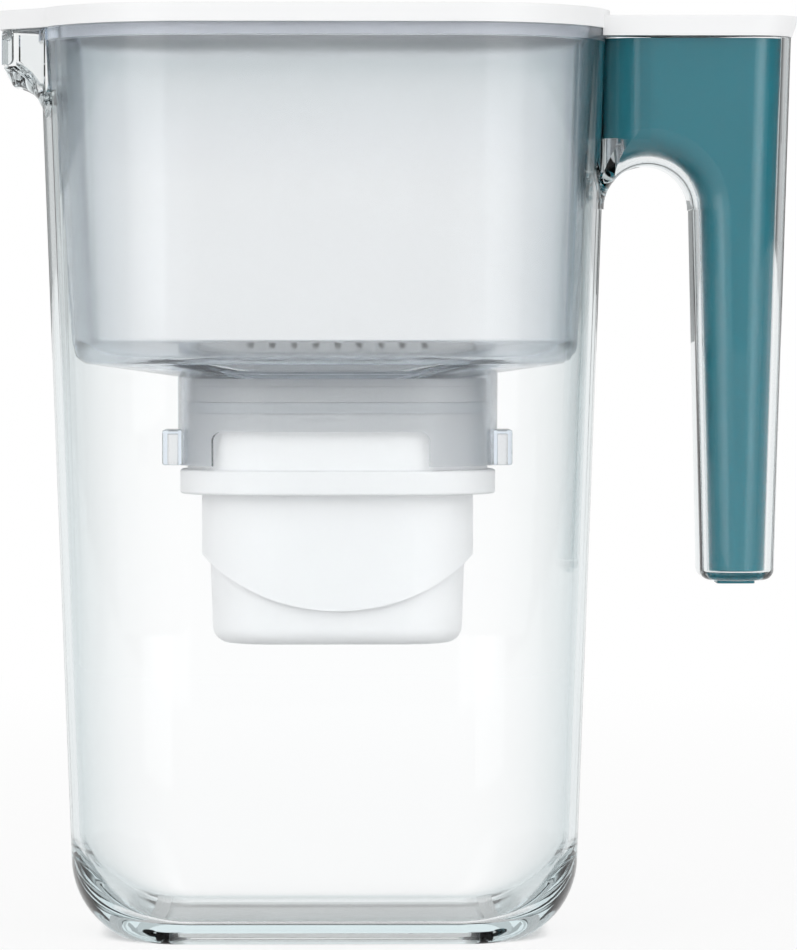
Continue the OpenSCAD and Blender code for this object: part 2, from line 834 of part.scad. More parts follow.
plug_l = hopper_len(rim_z) - hopper_wall - plug_play;
plug_w = hopper_wid(rim_z) - hopper_wall - plug_play;
plug_r = hopper_corner(rim_z) - hopper_wall - plug_play;
flap_x0 = flap_shift - flap_len / 2;            // the flap's hinged edge
flap_x1 = flap_shift + flap_len / 2;            // the flap's free edge
hinge_x = flap_x0;
hinge_z = lid_top - knuckle_r;
ledge_z = lid_top - lid_t - seat;               // top of the ledge under the flap
ledge_t = 1.8;                                  // thickness of the ledge and of its frame
plug_wall = 1.8;
trough_t = 1.2;                                 // thickness of the trough under the knuckle
past_hinge = 10;                                // how far the cuts at the hinge run past it
boss_half = knuckle_r + 1;                      // half width of the bosses beside the knuckle
boss_gap = 0.3;                                 // gap between a boss and the knuckle or the flap
boss_y = knuckle_len / 2 + boss_gap + boss_len / 2; // middle of each boss
knuckle_room = 0.4;                             // gap under the knuckle
trough_z = hinge_z - knuckle_r - knuckle_room;  // floor of the trough
bore_len = knuckle_len + 2 * boss_len - 1;      // length of the bore for the flap's pin
pin_end = 0.2;                                  // gap past each end of that pin
air = 0.3;                                      // gap between the spout flap and the lid
spout_hinge_x = tip_x + spout_knuckle_r;
spout_hinge_z = lid_z - air - spout_knuckle_r;
ear_t = 1.2;                                    // thickness of the two ears that hold its pin
ear_air = 0.35;                                 // gap round each ear in its slot
ear_r = spout_knuckle_r - 2 * seat;
ear_in = 3.4;                                   // how far each ear is set in from the spout's side
ear_y = spout_tip_wid / 2 - ear_in;
ear_fore = nose_x - (lid_overhang / 2 - lid_wall); // front of each ear's neck, against the nose's wall
ear_back = ear_r + 0.6;                         // how far the neck reaches behind the pin's axis

module at_flap() {
    translate([flap_shift, 0, 0]) children();
}

// The lid's nose over the spout, seen from above, grown by grow
module nose_plan(grow) {
    polygon([
        [nose_x - grow, -spout_half(tip_x) - grow],
        [root_x, -spout_half(root_x) - grow],
        [root_x, spout_half(root_x) + grow],
        [nose_x - grow, spout_half(tip_x) + grow]
    ]);
}

// The cover over the handle: inset sets it in, and its end slopes out to its top
module cover_form(inset, z0, z1) {
    w = handle_wid / 2 + lid_overhang - inset;
    r = handle_corner_r + lid_overhang - inset;
    hull() {
        bar(body_len / 2 - 12, handle_x + lid_overhang / 2 - inset, w, r, z0, z0 + film);
        bar(body_len / 2 - 12, cover_x - inset, w, r, z1 - film, z1);
    }
}

// The two ears that hang from the lid's nose and hold the spout flap's pin
module flap_ears() {
    color("white") in_frame() difference() {
        for (y = [-ear_y, ear_y])
            translate([0, y, 0]) {
                at_spout_hinge() cylinder(ear_t, ear_r, ear_r, center = true);
                translate([ear_fore, -ear_t / 2, spout_hinge_z])
                    cube([spout_hinge_x + ear_back - ear_fore, ear_t, lid_top - lid_t - spout_hinge_z]);
            }
        at_spout_hinge() cylinder(spout_tip_wid, spout_pin_r, spout_pin_r, center = true);
    }
}

// Draws its children at the two bosses of the filling flap's hinge
module at_bosses() {
    for (s = [-1, 1])
        translate([hinge_x, s * boss_y, hinge_z]) children();
}

module lid() {
    color("white") in_frame() difference() {
        union() {
            // the edge and the top
            difference() {
                union() {
                    translate([0, 0, lid_z]) linear_extrude(lid_h) {
                        rim_outline(lid_overhang);
                        nose_plan(lid_overhang / 2);
                    }
                    cover_form(0, cover_z, cover_top);
                }
                translate([0, 0, cover_z - over]) linear_extrude(lid_z - cover_z + over)
                    rim_outline(rim_play);
                translate([0, 0, lid_z - over]) linear_extrude(lid_h - lid_t + over) {
                    rim_outline(lid_overhang - lid_wall);
                    nose_plan(lid_overhang / 2 - lid_wall);
                }
                cover_form(lid_wall, cover_z - over, cover_top - lid_t);
            }
            // the ring that locates the lid in the hopper
            difference() {
                plate(plug_l, plug_w, plug_r, flange_top - plug_drop, lid_top - lid_t + film);
                plate(plug_l - plug_wall, plug_w - plug_wall, plug_r - plug_wall,
                      flange_top - plug_drop - over, lid_top);
                pour_channel(hopper_wall + plug_play, hopper_z, lid_top - lid_t);
            }
            // the frame of the filling hole, with the ledge for the flap
            at_flap() plate(flap_len / 2 + flap_gap + ledge_t, flap_wid / 2 + flap_gap + ledge_t,
                            flap_corner_r + ledge_t, ledge_z - ledge_t, lid_top - lid_t + film);
            // trough under the knuckle, and the bosses that hold the pin of the filling flap
            translate([hinge_x - boss_half, -boss_y - boss_len / 2, trough_z - trough_t])
                cube([2 * boss_half, 2 * boss_y + boss_len, lid_top - lid_t - trough_z + trough_t]);
            at_bosses() translate([-boss_half, -boss_len / 2, -knuckle_r])
                cube([2 * boss_half, boss_len, 2 * knuckle_r]);
        }
        // the filling hole and the recess for the flap
        at_flap() plate(flap_len / 2 - ledge, flap_wid / 2 - ledge, flap_corner_r - ledge,
                        ledge_z - ledge_t - over, lid_top + over);
        difference() {
            at_flap() plate(flap_len / 2 + flap_gap, flap_wid / 2 + flap_gap, flap_corner_r,
                            ledge_z, lid_top + over);
            at_bosses() translate([-past_hinge, -boss_len / 2, -lid_h])
                cube([past_hinge + boss_half, boss_len, 2 * lid_h]);
        }
        // room for the knuckle
        translate([hinge_x - knuckle_r - flap_gap, -boss_y + boss_len / 2, trough_z])
            cube([2 * knuckle_r + 2 * flap_gap, 2 * boss_y - boss_len, 3 * knuckle_r]);
        // bore for the filling flap's pin
        translate([hinge_x, 0, hinge_z]) rotate([90, 0, 0])
            cylinder(bore_len, pin_r, pin_r, center = true);
        // scoop for the thumb at the flap's free edge
        translate([flap_x1 + flap_gap, 0, lid_top - scoop_depth])
            cylinder(scoop_depth + over, scoop_r, scoop_r);
    }
}

module fill_flap() {
    rib_h = 1.2;
    rib_t = 1.4;
    end_in = ledge + 2;
    side_in = ledge + 1;
    color("white") in_frame() difference() {
        union() {
            difference() {
                at_flap() plate(flap_len / 2, flap_wid / 2, flap_corner_r, lid_top - lid_t, lid_top);
                // the bosses of the lid stand beside the knuckle
                at_bosses() translate([-past_hinge, -boss_len / 2 - boss_gap, -lid_h])
                    cube([past_hinge + boss_half + over, boss_len + 2 * boss_gap, 2 * lid_h]);
                translate([hinge_x - past_hinge, -flap_wid, lid_z])
                    cube([past_hinge, 2 * flap_wid, 2 * lid_h]);
            }
            translate([hinge_x, 0, hinge_z]) rotate([90, 0, 0])
                cylinder(knuckle_len, knuckle_r, knuckle_r, center = true);
            // rib under the flap, just inside the filling hole
            at_flap() difference() {
                plate(flap_len / 2 - end_in, flap_wid / 2 - side_in, flap_corner_r - side_in,
                      lid_top - lid_t - rib_h, lid_top - lid_t + film);
                plate(flap_len / 2 - end_in - rib_t, flap_wid / 2 - side_in - rib_t,
                      flap_corner_r - side_in - rib_t, lid_z - over, lid_top - lid_t);
            }
        }
        translate([hinge_x, 0, hinge_z]) rotate([90, 0, 0])
            cylinder(knuckle_len + 2 * over, pin_r + pin_play, pin_r + pin_play, center = true);
    }
}

module fill_flap_pin() {
    color("silver") in_frame() translate([hinge_x, 0, hinge_z]) rotate([90, 0, 0])
        cylinder(bore_len - 2 * pin_end, pin_r, pin_r, center = true);
}

// ---- Spout flap ----

module at_spout_hinge() {
    translate([spout_hinge_x, 0, spout_hinge_z]) rotate([90, 0, 0]) children();
}

module spout_flap() {
    low = lip_z + spout_flap_gap;
    top = spout_hinge_z + spout_knuckle_r;
    back = tip_x + cheek - spout_flap_gap;
    corner_r = 1.5;
    wid = 2 * spout_root_wid;
    color([0.85, 0.91, 0.93, 0.5]) in_frame() difference() {
        union() {
            difference() {
                translate([0, 0, low]) linear_extrude(top - low) intersection() {
                    spout_plan(0);
                    translate([tip_x, -wid / 2]) square([back - tip_x, wid]);
                }
                translate([0, 0, low - over]) linear_extrude(top - low + 2 * over)
                    spout_plan(spout_flap_t);
            }
            at_spout_hinge() cylinder(spout_tip_wid - 1, spout_knuckle_r, spout_knuckle_r, center = true);
        }
        // the top of the front is round about the pin, so that it turns under the lid
        along_y(wid) translate([spout_hinge_x, spout_hinge_z]) difference() {
            translate([-2 * spout_knuckle_r, 0]) square([2 * spout_knuckle_r, 2 * spout_knuckle_r]);
            circle(spout_knuckle_r);
        }
        // the lower back corners are round, so that they swing clear of the lip
        along_y(wid) difference() {
            translate([back - corner_r, low - over]) square([corner_r + over, corner_r + over]);
            translate([back - corner_r, low + corner_r]) circle(corner_r);
        }
        // slots for the lid's ears
        for (y = [-ear_y, ear_y])
            translate([0, y, 0]) at_spout_hinge()
                cylinder(ear_t + 2 * air, ear_r + ear_air, ear_r + ear_air, center = true);
        at_spout_hinge() cylinder(wid, spout_pin_r + pin_play, spout_pin_r + pin_play, center = true);
    }
}

module spout_flap_pin() {
    color("silver") in_frame() at_spout_hinge()
        cylinder(spout_tip_wid - 0.8, spout_pin_r, spout_pin_r, center = true);
}

jug();
spout();
spout_lip();
handle_shell();
handle_core();
hopper();
hopper_floor();
hopper_rim();
filter_well();
cartridge_cup();
cartridge_cap();
cartridge_seal();
inlet_screen();
outlet_screen();
carbon_bed();
resin_bed();
bed_divider();
lid();
flap_ears();
fill_flap();
fill_flap_pin();
spout_flap();
spout_flap_pin();
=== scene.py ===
from math import cos, pi, radians, sin, sqrt

import bmesh
import bpy
from bpy.props import FloatProperty, FloatVectorProperty, IntProperty, PointerProperty
from bpy.types import Operator, Panel, PropertyGroup
from mathutils import Euler, Matrix, Vector


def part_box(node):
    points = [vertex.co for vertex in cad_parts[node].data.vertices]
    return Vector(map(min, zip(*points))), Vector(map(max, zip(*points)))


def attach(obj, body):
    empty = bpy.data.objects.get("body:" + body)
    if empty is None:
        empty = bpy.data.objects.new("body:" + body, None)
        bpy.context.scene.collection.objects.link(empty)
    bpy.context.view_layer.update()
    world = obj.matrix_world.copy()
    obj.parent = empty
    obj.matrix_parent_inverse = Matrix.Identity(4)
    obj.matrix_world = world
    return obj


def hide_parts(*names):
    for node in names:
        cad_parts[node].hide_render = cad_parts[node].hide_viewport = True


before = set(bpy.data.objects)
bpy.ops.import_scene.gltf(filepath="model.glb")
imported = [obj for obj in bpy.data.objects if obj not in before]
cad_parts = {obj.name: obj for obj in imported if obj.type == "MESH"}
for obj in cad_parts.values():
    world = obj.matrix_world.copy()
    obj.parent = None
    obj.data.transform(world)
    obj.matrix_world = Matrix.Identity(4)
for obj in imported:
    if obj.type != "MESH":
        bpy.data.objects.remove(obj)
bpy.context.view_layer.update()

bl_info = {
    "name": "Water filter pitcher",
    "version": (1, 0, 0),
    "blender": (4, 5, 0),
    "location": "View3D > Sidebar > Pitcher",
    "description": "Dresses the packed model of a water filter pitcher with a flip lid",
    "category": "Add Mesh",
}

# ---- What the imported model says, in metres ----

MM = 0.001
JUG_LOW, JUG_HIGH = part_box("jug")
MID_X = (JUG_LOW.x + JUG_HIGH.x) / 2            # middle of the jug's body
BODY_LEN = JUG_HIGH.x - JUG_LOW.x
BODY_WID = JUG_HIGH.y - JUG_LOW.y
RIM_Z = JUG_HIGH.z
SPOUT_LOW, SPOUT_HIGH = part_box("spout")
TIP_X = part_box("spout_lip")[0].x                # the spout's tip
SHELL_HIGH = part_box("handle_shell")[1]
CORE_LOW, CORE_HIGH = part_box("handle_core")
HOPPER_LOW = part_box("hopper_floor")[0]
HOPPER_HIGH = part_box("hopper_rim")[1]
WELL_LOW, WELL_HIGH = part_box("filter_well")
CUP_LOW, CUP_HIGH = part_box("cartridge_cup")
CUP_X = (CUP_LOW.x + CUP_HIGH.x) / 2            # middle of the cartridge

QUARTER = 20            # steps round each quarter of a ring
HAIR = 0.00005          # least straight stretch between two round corners
OVER = 0.001            # how far a cutter runs past the face that it opens
LAP = 0.0002            # how far two solids that are joined run into each other

# ---- Small sizes that hold for this model only ----

RIM_PLAY = 0.3 * MM     # play round the hopper's rim where it sits on the jug
PAST_RIM = 10 * MM      # how far the jug's cutters run up past its rim
HANDLE_LAP = 6 * MM     # how far the handle's form runs into the body
CORE_GAP = 0.5 * MM     # between the body's outside at the rim and the core's room
CORNER_RISE = 8 * MM    # from the arch's top to where the core's room has square near corners
ROOT_LAP = 1.5 * MM     # how far the spout runs into the body
CHIN_BACK = 3 * MM      # how far the spout's chin lies behind its tip
PAST_SPOUT = 12 * MM    # how far the spout's loops run up past its top
END_LEAST = 0.4 * MM    # least rounding round the bottom of a handle's form
TONGUE_CORNER = 2 * MM
CLIP_REACH = 4.2 * MM   # how far each clip stands out from the skirt
CLIP_ROUND = 0.6 * MM
SKIRT_CUT = 10 * MM     # how far the skirt's cutter runs up past the hopper's floor
MOUTH_CUT = 8 * MM      # how far the mouth's cutter runs up past it
SHOULDER = 1.8 * MM     # from the ring's underside up to where the cartridge's neck is wide inside
SEAL_PLAY = 0.1 * MM    # play above and below the seal in its groove
GROOVE = 1.2 * MM       # depth of the seal's groove
LID_ROUND = 0.5 * MM
FLAP_ROUND = 0.4 * MM


# ---- Sizes and colours that a user would change ----

def size(label, text, default):
    return FloatProperty(name=label, description=text, default=default, unit="LENGTH", precision=5)


def share(label, text, default, high=1.0):
    return FloatProperty(name=label, description=text, default=default, min=0.0, max=high)


def tint(label, text, default):
    return FloatVectorProperty(
        name=label, description=text, default=default, subtype="COLOR", size=3, min=0.0, max=1.0
    )


class PitcherJug(PropertyGroup):
    """Sizes of the clear jug."""
    wall: size("Wall", "Thickness of the jug's walls", 2.6 * MM)
    lean: share("Lean", "How far the walls lean in for each unit of height", 0.0364)
    corner: size("Corner", "Radius of the body's upright corners at the rim", 47 * MM)
    end_sweep: size("End sweep", "Radius from the two ends into the base, outside", 21 * MM)
    inner_sweep: size("Inner sweep", "Radius from the two ends into the floor, inside", 24 * MM)
    side_sweep: size("Side sweep", "Radius along the long edges of the base", 2.5 * MM)
    foot_corner: size("Foot corner", "Corner radius of the base", 12 * MM)
    floor: size("Floor", "Height of the inside floor", 5.7 * MM)
    recess: size("Recess", "Depth of the hollow under the base", 3.2 * MM)
    foot_end: size("Foot end", "Width of the foot at the two ends", 6 * MM)


class PitcherSpout(PropertyGroup):
    """Sizes of the spout."""
    tip_wid: size("Tip width", "Width of the spout at its tip", 14 * MM)
    root_wid: size("Root width", "Width of the spout where it leaves the body", 36 * MM)
    wall: size("Wall", "Thickness of the spout's walls", 1.8 * MM)
    window: size("Window", "Depth of the pouring window", 10.3 * MM)
    chin: size("Chin", "Depth of the chin below the spout's top", 16.3 * MM)
    cheek: size("Cheek", "How far the flap's cheeks reach back", 4.2 * MM)
    keel: size("Keel", "Rounding along the spout's lower edges", 5 * MM)


class PitcherHandle(PropertyGroup):
    """Sizes of the handle."""
    corner: size("Corner", "Corner radius of the handle from above", 12 * MM)
    shell: size("Shell", "Thickness of the clear shell", 2.6 * MM)
    play: size("Play", "Play between the core and the shell", 0.3 * MM)
    core_wall: size("Core wall", "Thickness of the core's walls", 2 * MM)
    gap: size("Finger gap", "Width of the finger gap under the arch", 26 * MM)
    arch_drop: size("Arch", "Depth of the arch's top below the rim", 36.6 * MM)
    reach: size("Reach", "How far the handle stands out from the rim", 54.5 * MM)
    drop: size("Drop", "Length of the handle from the rim down", 160.2 * MM)
    outer_lean: share("Outer lean", "Lean of the outer edge", 0.0312)
    inner_lean: share("Inner lean", "Lean of the grip's inner edge", 0.0232)
    end: size("End", "Rounding round the bottom of the grip", 3 * MM)
    tongue_len: size("Tongue length", "Length of the core's tongue", 11.4 * MM)
    tongue_wid: size("Tongue width", "Width of the core's tongue", 14 * MM)


class PitcherHopper(PropertyGroup):
    """Sizes of the hopper and the well under it."""
    gap: size("Gap", "Gap to the jug's wall at the rim", 1.2 * MM)
    growth: share("Growth", "How much the gap grows for each unit of depth", 0.0217)
    wall: size("Wall", "Thickness of the hopper's walls", 2 * MM)
    flange: size("Flange", "Height of the hopper's rim", 3.6 * MM)
    level_len: size("Level floor", "Half length of the level part of the floor", 40 * MM)
    level_in: size("Level inset", "How far the level floor is set in from the walls", 4 * MM)
    level_corner: size("Level corner", "Corner radius of the level floor", 22 * MM)
    rise: size("Rise", "Rise of the floor to its two ends", 4 * MM)
    turn: size("Turn", "Radius from the floor into the walls", 6 * MM)
    channel_r: size("Channel radius", "Radius of the pouring channel", 22 * MM)
    channel_depth: size("Channel depth", "Depth of the pouring channel", 5 * MM)
    skirt: size("Skirt", "Thickness of the well's skirt", 2 * MM)
    mouth_in: size("Mouth", "How far the well's mouth is set in from its skirt", 4 * MM)
    window_wid: size("Window width", "Width of each window in the skirt", 63.8 * MM)
    window_h: size("Window height", "Height of each window in the skirt", 10.3 * MM)
    window_shift: size("Window shift", "How far the windows lie towards the spout", 4.9 * MM)
    window_r: size("Window corner", "Corner radius of the windows", 3 * MM)
    clip_wid: size("Clip width", "Width of the two clips", 18 * MM)
    clip_h: size("Clip height", "Height of the two clips", 10.5 * MM)
    clip_wall: size("Clip wall", "Thickness of the clips' walls", 1.4 * MM)


class PitcherCartridge(PropertyGroup):
    """Sizes of the filter cartridge."""
    ring_h: size("Ring height", "Height of the ring", 7.4 * MM)
    ring_r: size("Ring edge", "Rounding along the ring's edges", 0.9 * MM)
    inset: size("Inset", "How far the cup is set in from the ring", 6.5 * MM)
    step_in: size("Step", "How far the lower half of the cup is set in", 1.7 * MM)
    step_drop: size("Step drop", "Depth of the step at the two ends below the ring", 18 * MM)
    apron_drop: size("Apron", "Depth of the curved apron below the ring", 34.3 * MM)
    taper: size("Taper", "How much the cup narrows to its bottom", 1.6 * MM)
    end: size("End", "Rounding round the bottom of the cup", 5 * MM)
    wall: size("Wall", "Thickness of the cup's walls", 1.6 * MM)
    neck_in: size("Neck inset", "How far the neck is set in from the ring", 2.2 * MM)
    neck_wall: size("Neck wall", "Thickness of the neck's wall", 2.8 * MM)
    cup_h: size("Cup height", "Height of the cup below the ring", 44.7 * MM)
    slots: IntProperty(name="Slots", description="Number of outlet slots", default=9)
    slot_wid: size("Slot width", "Width of each slot", 1.8 * MM)


class PitcherColours(PropertyGroup):
    """Colours of the plastics."""
    clear: tint("Clear", "What the clear plastic lets through", (0.55, 0.76, 0.80))
    # edge and milky_edge: partly the tint of a longer slant path, partly painted shade and
    # reflection at the turned-away edges
    edge: tint(
        "Edge", "What the clear plastic lets through where it turns away", (0.54, 0.63, 0.65)
    )
    milky: tint("Milky", "What the hopper's plastic lets through", (0.55, 0.72, 0.90))
    milky_edge: tint(
        "Milky edge", "What the hopper lets through where it turns away", (0.78, 0.85, 0.91)
    )
    teal: tint("Teal", "Colour of the handle's core", (0.004, 0.178, 0.232))
    white: tint("White", "Colour of the lid", (0.90, 0.905, 0.91))
    cartridge: tint("Cartridge", "Colour of the cartridge", (0.93, 0.935, 0.945))


class PitcherStage(PropertyGroup):
    """Camera and light."""
    distance: size("Distance", "Distance from the camera to the jug's middle plane", 1.509)
    camera_x: size("Camera X", "Where the camera stands along X", -23.5 * MM)
    camera_z: size("Camera height", "Height of the camera above the table", 0.180)
    lens: FloatProperty(name="Lens", description="Focal length in millimetres", default=190.6)
    yaw: FloatProperty(
        name="Yaw", description="Turn to the right", default=radians(0.88), subtype="ANGLE"
    )
    pitch: FloatProperty(
        name="Pitch", description="Tilt down", default=radians(1.65), subtype="ANGLE"
    )
    level: share("Level", "Brightness of the room", 0.85)
    inner: share("Inner", "Brightness of the room for what the clear plastic holds", 2.7, high=4.0)
    side: share("Side", "How much less of that light comes from the two ends", 0.85)
    dim: share("Dim", "Brightness that the clear plastic mirrors", 0.28)
    half: share("Half", "Brightness of the room that the handle's core mirrors", 0.65)
    glow: share("Glow", "Brightness of the bands that the handle's core mirrors", 1.7, high=3.0)
    shade: share("Shade", "Brightness of the room's grey stripes", 0.5)


# ---- Mesh helpers ----

def once_each(items):
    """The items in the order in which they first come."""
    return list(dict.fromkeys(items))


def ring(bm, x, z, half_x, half_y, corner):
    """A level loop in the form of a rounded rectangle. Returns its edges."""
    corner = max(min(corner, half_x - HAIR, half_y - HAIR), HAIR)
    half_step = pi / (4 * QUARTER)
    verts = bmesh.ops.create_circle(
        bm, cap_ends=False, segments=4 * QUARTER, radius=corner / cos(half_step)
    )["verts"]
    bmesh.ops.rotate(bm, verts=verts, cent=(0, 0, 0), matrix=Matrix.Rotation(half_step, 3, "Z"))
    for sign in (-1, 1):
        along = [v for v in verts if v.co.x * sign > 0]
        bmesh.ops.translate(bm, verts=along, vec=(sign * (half_x - corner), 0, 0))
        across = [v for v in verts if v.co.y * sign > 0]
        bmesh.ops.translate(bm, verts=across, vec=(0, sign * (half_y - corner), 0))
    bmesh.ops.translate(bm, verts=verts, vec=(x, 0, z))
    return once_each(e for v in verts for e in v.link_edges)


def verts_of(edges):
    return once_each(v for e in edges for v in e.verts)


def loft(bm, loops):
    """Bridges each loop with the next one and closes the two ends."""
    for low, high in zip(loops, loops[1:]):
        bmesh.ops.bridge_loops(bm, edges=low + high)
    for loop in (loops[0], loops[-1]):
        bmesh.ops.edgeloop_fill(bm, edges=loop)


def solid(name, bm):
    """Makes an object of a closed bmesh."""
    bmesh.ops.remove_doubles(bm, verts=bm.verts, dist=0.000001)
    bmesh.ops.recalc_face_normals(bm, faces=bm.faces)
    mesh = bpy.data.meshes.new(name)
    bm.to_mesh(mesh)
    bm.free()
    piece = bpy.data.objects.new(name, mesh)
    bpy.context.scene.collection.objects.link(piece)
    return piece


def stack(name, rows):
    """A solid lofted up through level rings: each row is x, z, half length, half width, corner."""
    bm = bmesh.new()
    loft(bm, [ring(bm, *row) for row in rows])
    return solid(name, bm)


def block(name, low, high):
    """A box between its lowest and its highest corner."""
    bm = bmesh.new()
    verts = bmesh.ops.create_cube(bm, size=1.0)["verts"]
    bmesh.ops.scale(bm, verts=verts, vec=Vector(high) - Vector(low))
    bmesh.ops.translate(bm, verts=verts, vec=(Vector(high) + Vector(low)) / 2)
    return solid(name, bm)


def oval(name, length, width, low, high):
    """An upright oval round the middle of the cartridge, given half its length and width."""
    return stack(name, [(CUP_X, z, length, width, width) for z in (low, high)])


def barrel(name, x, z, radius, half_y, segments):
    """A cylinder that lies along Y."""
    bm = bmesh.new()
    turn = Matrix.Translation((x, 0, z)) @ Matrix.Rotation(radians(90), 4, "X")
    bmesh.ops.create_cone(
        bm, cap_ends=True, segments=segments, radius1=radius, radius2=radius,
        depth=2 * half_y, matrix=turn,
    )
    return solid(name, bm)


def settle(piece):
    """Applies the piece's modifiers to its mesh."""
    graph = bpy.context.evaluated_depsgraph_get()
    mesh = bpy.data.meshes.new_from_object(piece.evaluated_get(graph))
    piece.modifiers.clear()
    piece.data = mesh
    return piece


def carve(piece, operation, *tools):
    """Joins, cuts or meets the piece with each tool in turn, and removes the tools."""
    for tool in tools:
        step = piece.modifiers.new("carve", "BOOLEAN")
        step.operation = operation
        step.solver = "EXACT"
        step.object = tool
    settle(piece)
    for tool in tools:
        bpy.data.objects.remove(tool)
    return piece


def round_edges(piece, radius, angle=40, segments=2):
    """Rounds every edge that turns by more than the angle, in degrees."""
    bevel = piece.modifiers.new("round", "BEVEL")
    bevel.width = radius
    bevel.segments = segments
    bevel.limit_method = "ANGLE"
    bevel.angle_limit = radians(angle)
    bevel.profile = 0.5
    bevel.miter_outer = "MITER_ARC"
    return settle(piece)


def shade_smooth(piece, angle=35):
    """Smooth shading that breaks at edges sharper than the angle, with flat faces kept flat."""
    bm = bmesh.new()
    bm.from_mesh(piece.data)
    bmesh.ops.remove_doubles(bm, verts=bm.verts, dist=0.000002)
    bmesh.ops.dissolve_degenerate(bm, dist=0.000002, edges=bm.edges)
    for face in bm.faces:
        face.smooth = True
    for edge in bm.edges:
        edge.smooth = edge.calc_face_angle(0.0) < radians(angle)
    bm.to_mesh(piece.data)
    bm.free()
    weights = piece.modifiers.new("weights", "WEIGHTED_NORMAL")
    weights.keep_sharp = True
    return piece


def copy_of(node, name):
    """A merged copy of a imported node's mesh, with its flat faces whole again."""
    piece = bpy.data.objects.new(name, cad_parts[node].data.copy())
    bpy.context.scene.collection.objects.link(piece)
    bm = bmesh.new()
    bm.from_mesh(piece.data)
    bmesh.ops.remove_doubles(bm, verts=bm.verts, dist=0.000002)
    bmesh.ops.dissolve_limit(bm, angle_limit=radians(0.4), verts=bm.verts, edges=bm.edges)
    bm.to_mesh(piece.data)
    bm.free()
    return piece


def place(piece, body, slot, finish, *nodes):
    """Gives a finished piece its material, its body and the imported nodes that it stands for."""
    piece.data.materials.clear()
    piece.data.materials.append(finish)
    for face in piece.data.polygons:
        face.material_index = 0
    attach(piece, body)
    if nodes:
        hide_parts(*nodes)


def coat(finish, *nodes):
    """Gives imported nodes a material."""
    for name in nodes:
        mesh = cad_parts[name].data
        mesh.materials.clear()
        mesh.materials.append(finish)


# ---- The jug's leaning walls, which the hopper follows ----

def body_at(z, inset=0.0):
    """Half length, half width and corner radius of the jug's body at a height, set in by inset."""
    jug = bpy.context.scene.pitcher_jug
    back = (RIM_Z - z) * jug.lean + inset
    return BODY_LEN / 2 - back, BODY_WID / 2 - back, jug.corner - back


def round_in(height, radius):
    """How far a quarter round is set in at a height above its low end."""
    return radius - sqrt(radius ** 2 - (radius - min(height, radius)) ** 2)


def quarter(steps):
    """How far a quarter round is set in, and has risen, at each step: shares of its radius."""
    angles = [pi / 2 * i / steps for i in range(steps + 1)]
    return [(1 - sin(angle), 1 - cos(angle)) for angle in angles]


def jug_form(name, inset, low, high, end_sweep, foot_corner):
    """The jug's form, set in from its outside, swept from its base up into its ends."""
    jug = bpy.context.scene.pitcher_jug
    steps = 16
    rows = []
    for i in range(steps + 1):
        angle = pi / 2 * i / steps
        height = end_sweep * (1 - cos(angle))
        length, width, corner = body_at(low + height, inset)
        rows.append((
            MID_X, low + height, length - end_sweep * (1 - sin(angle)),
            width - round_in(height, jug.side_sweep),
            foot_corner + (corner - foot_corner) * sin(angle),
        ))
    rows.append((MID_X, high, *body_at(high, inset)))
    return stack(name, rows)


# ---- Materials ----

class Number:
    """A number's socket in a material. Python's operators on it add Math nodes."""

    def __init__(self, finish, socket):
        self.finish = finish
        self.socket = socket

    def math(self, operation, first, second=0.0):
        return self.finish.node(
            "ShaderNodeMath", {"operation": operation}, {0: first, 1: second}
        )

    def either(self, other):
        """The larger of the two."""
        return self.math("MAXIMUM", self, other)

    def __add__(self, other):
        return self.math("ADD", self, other)

    def __sub__(self, other):
        return self.math("SUBTRACT", self, other)

    def __rsub__(self, other):
        return self.math("SUBTRACT", other, self)

    def __mul__(self, other):
        return self.math("MULTIPLY", self, other)

    def __truediv__(self, other):
        return self.math("DIVIDE", self, other)

    def __pow__(self, other):
        return self.math("POWER", self, other)

    __radd__ = __add__
    __rmul__ = __mul__


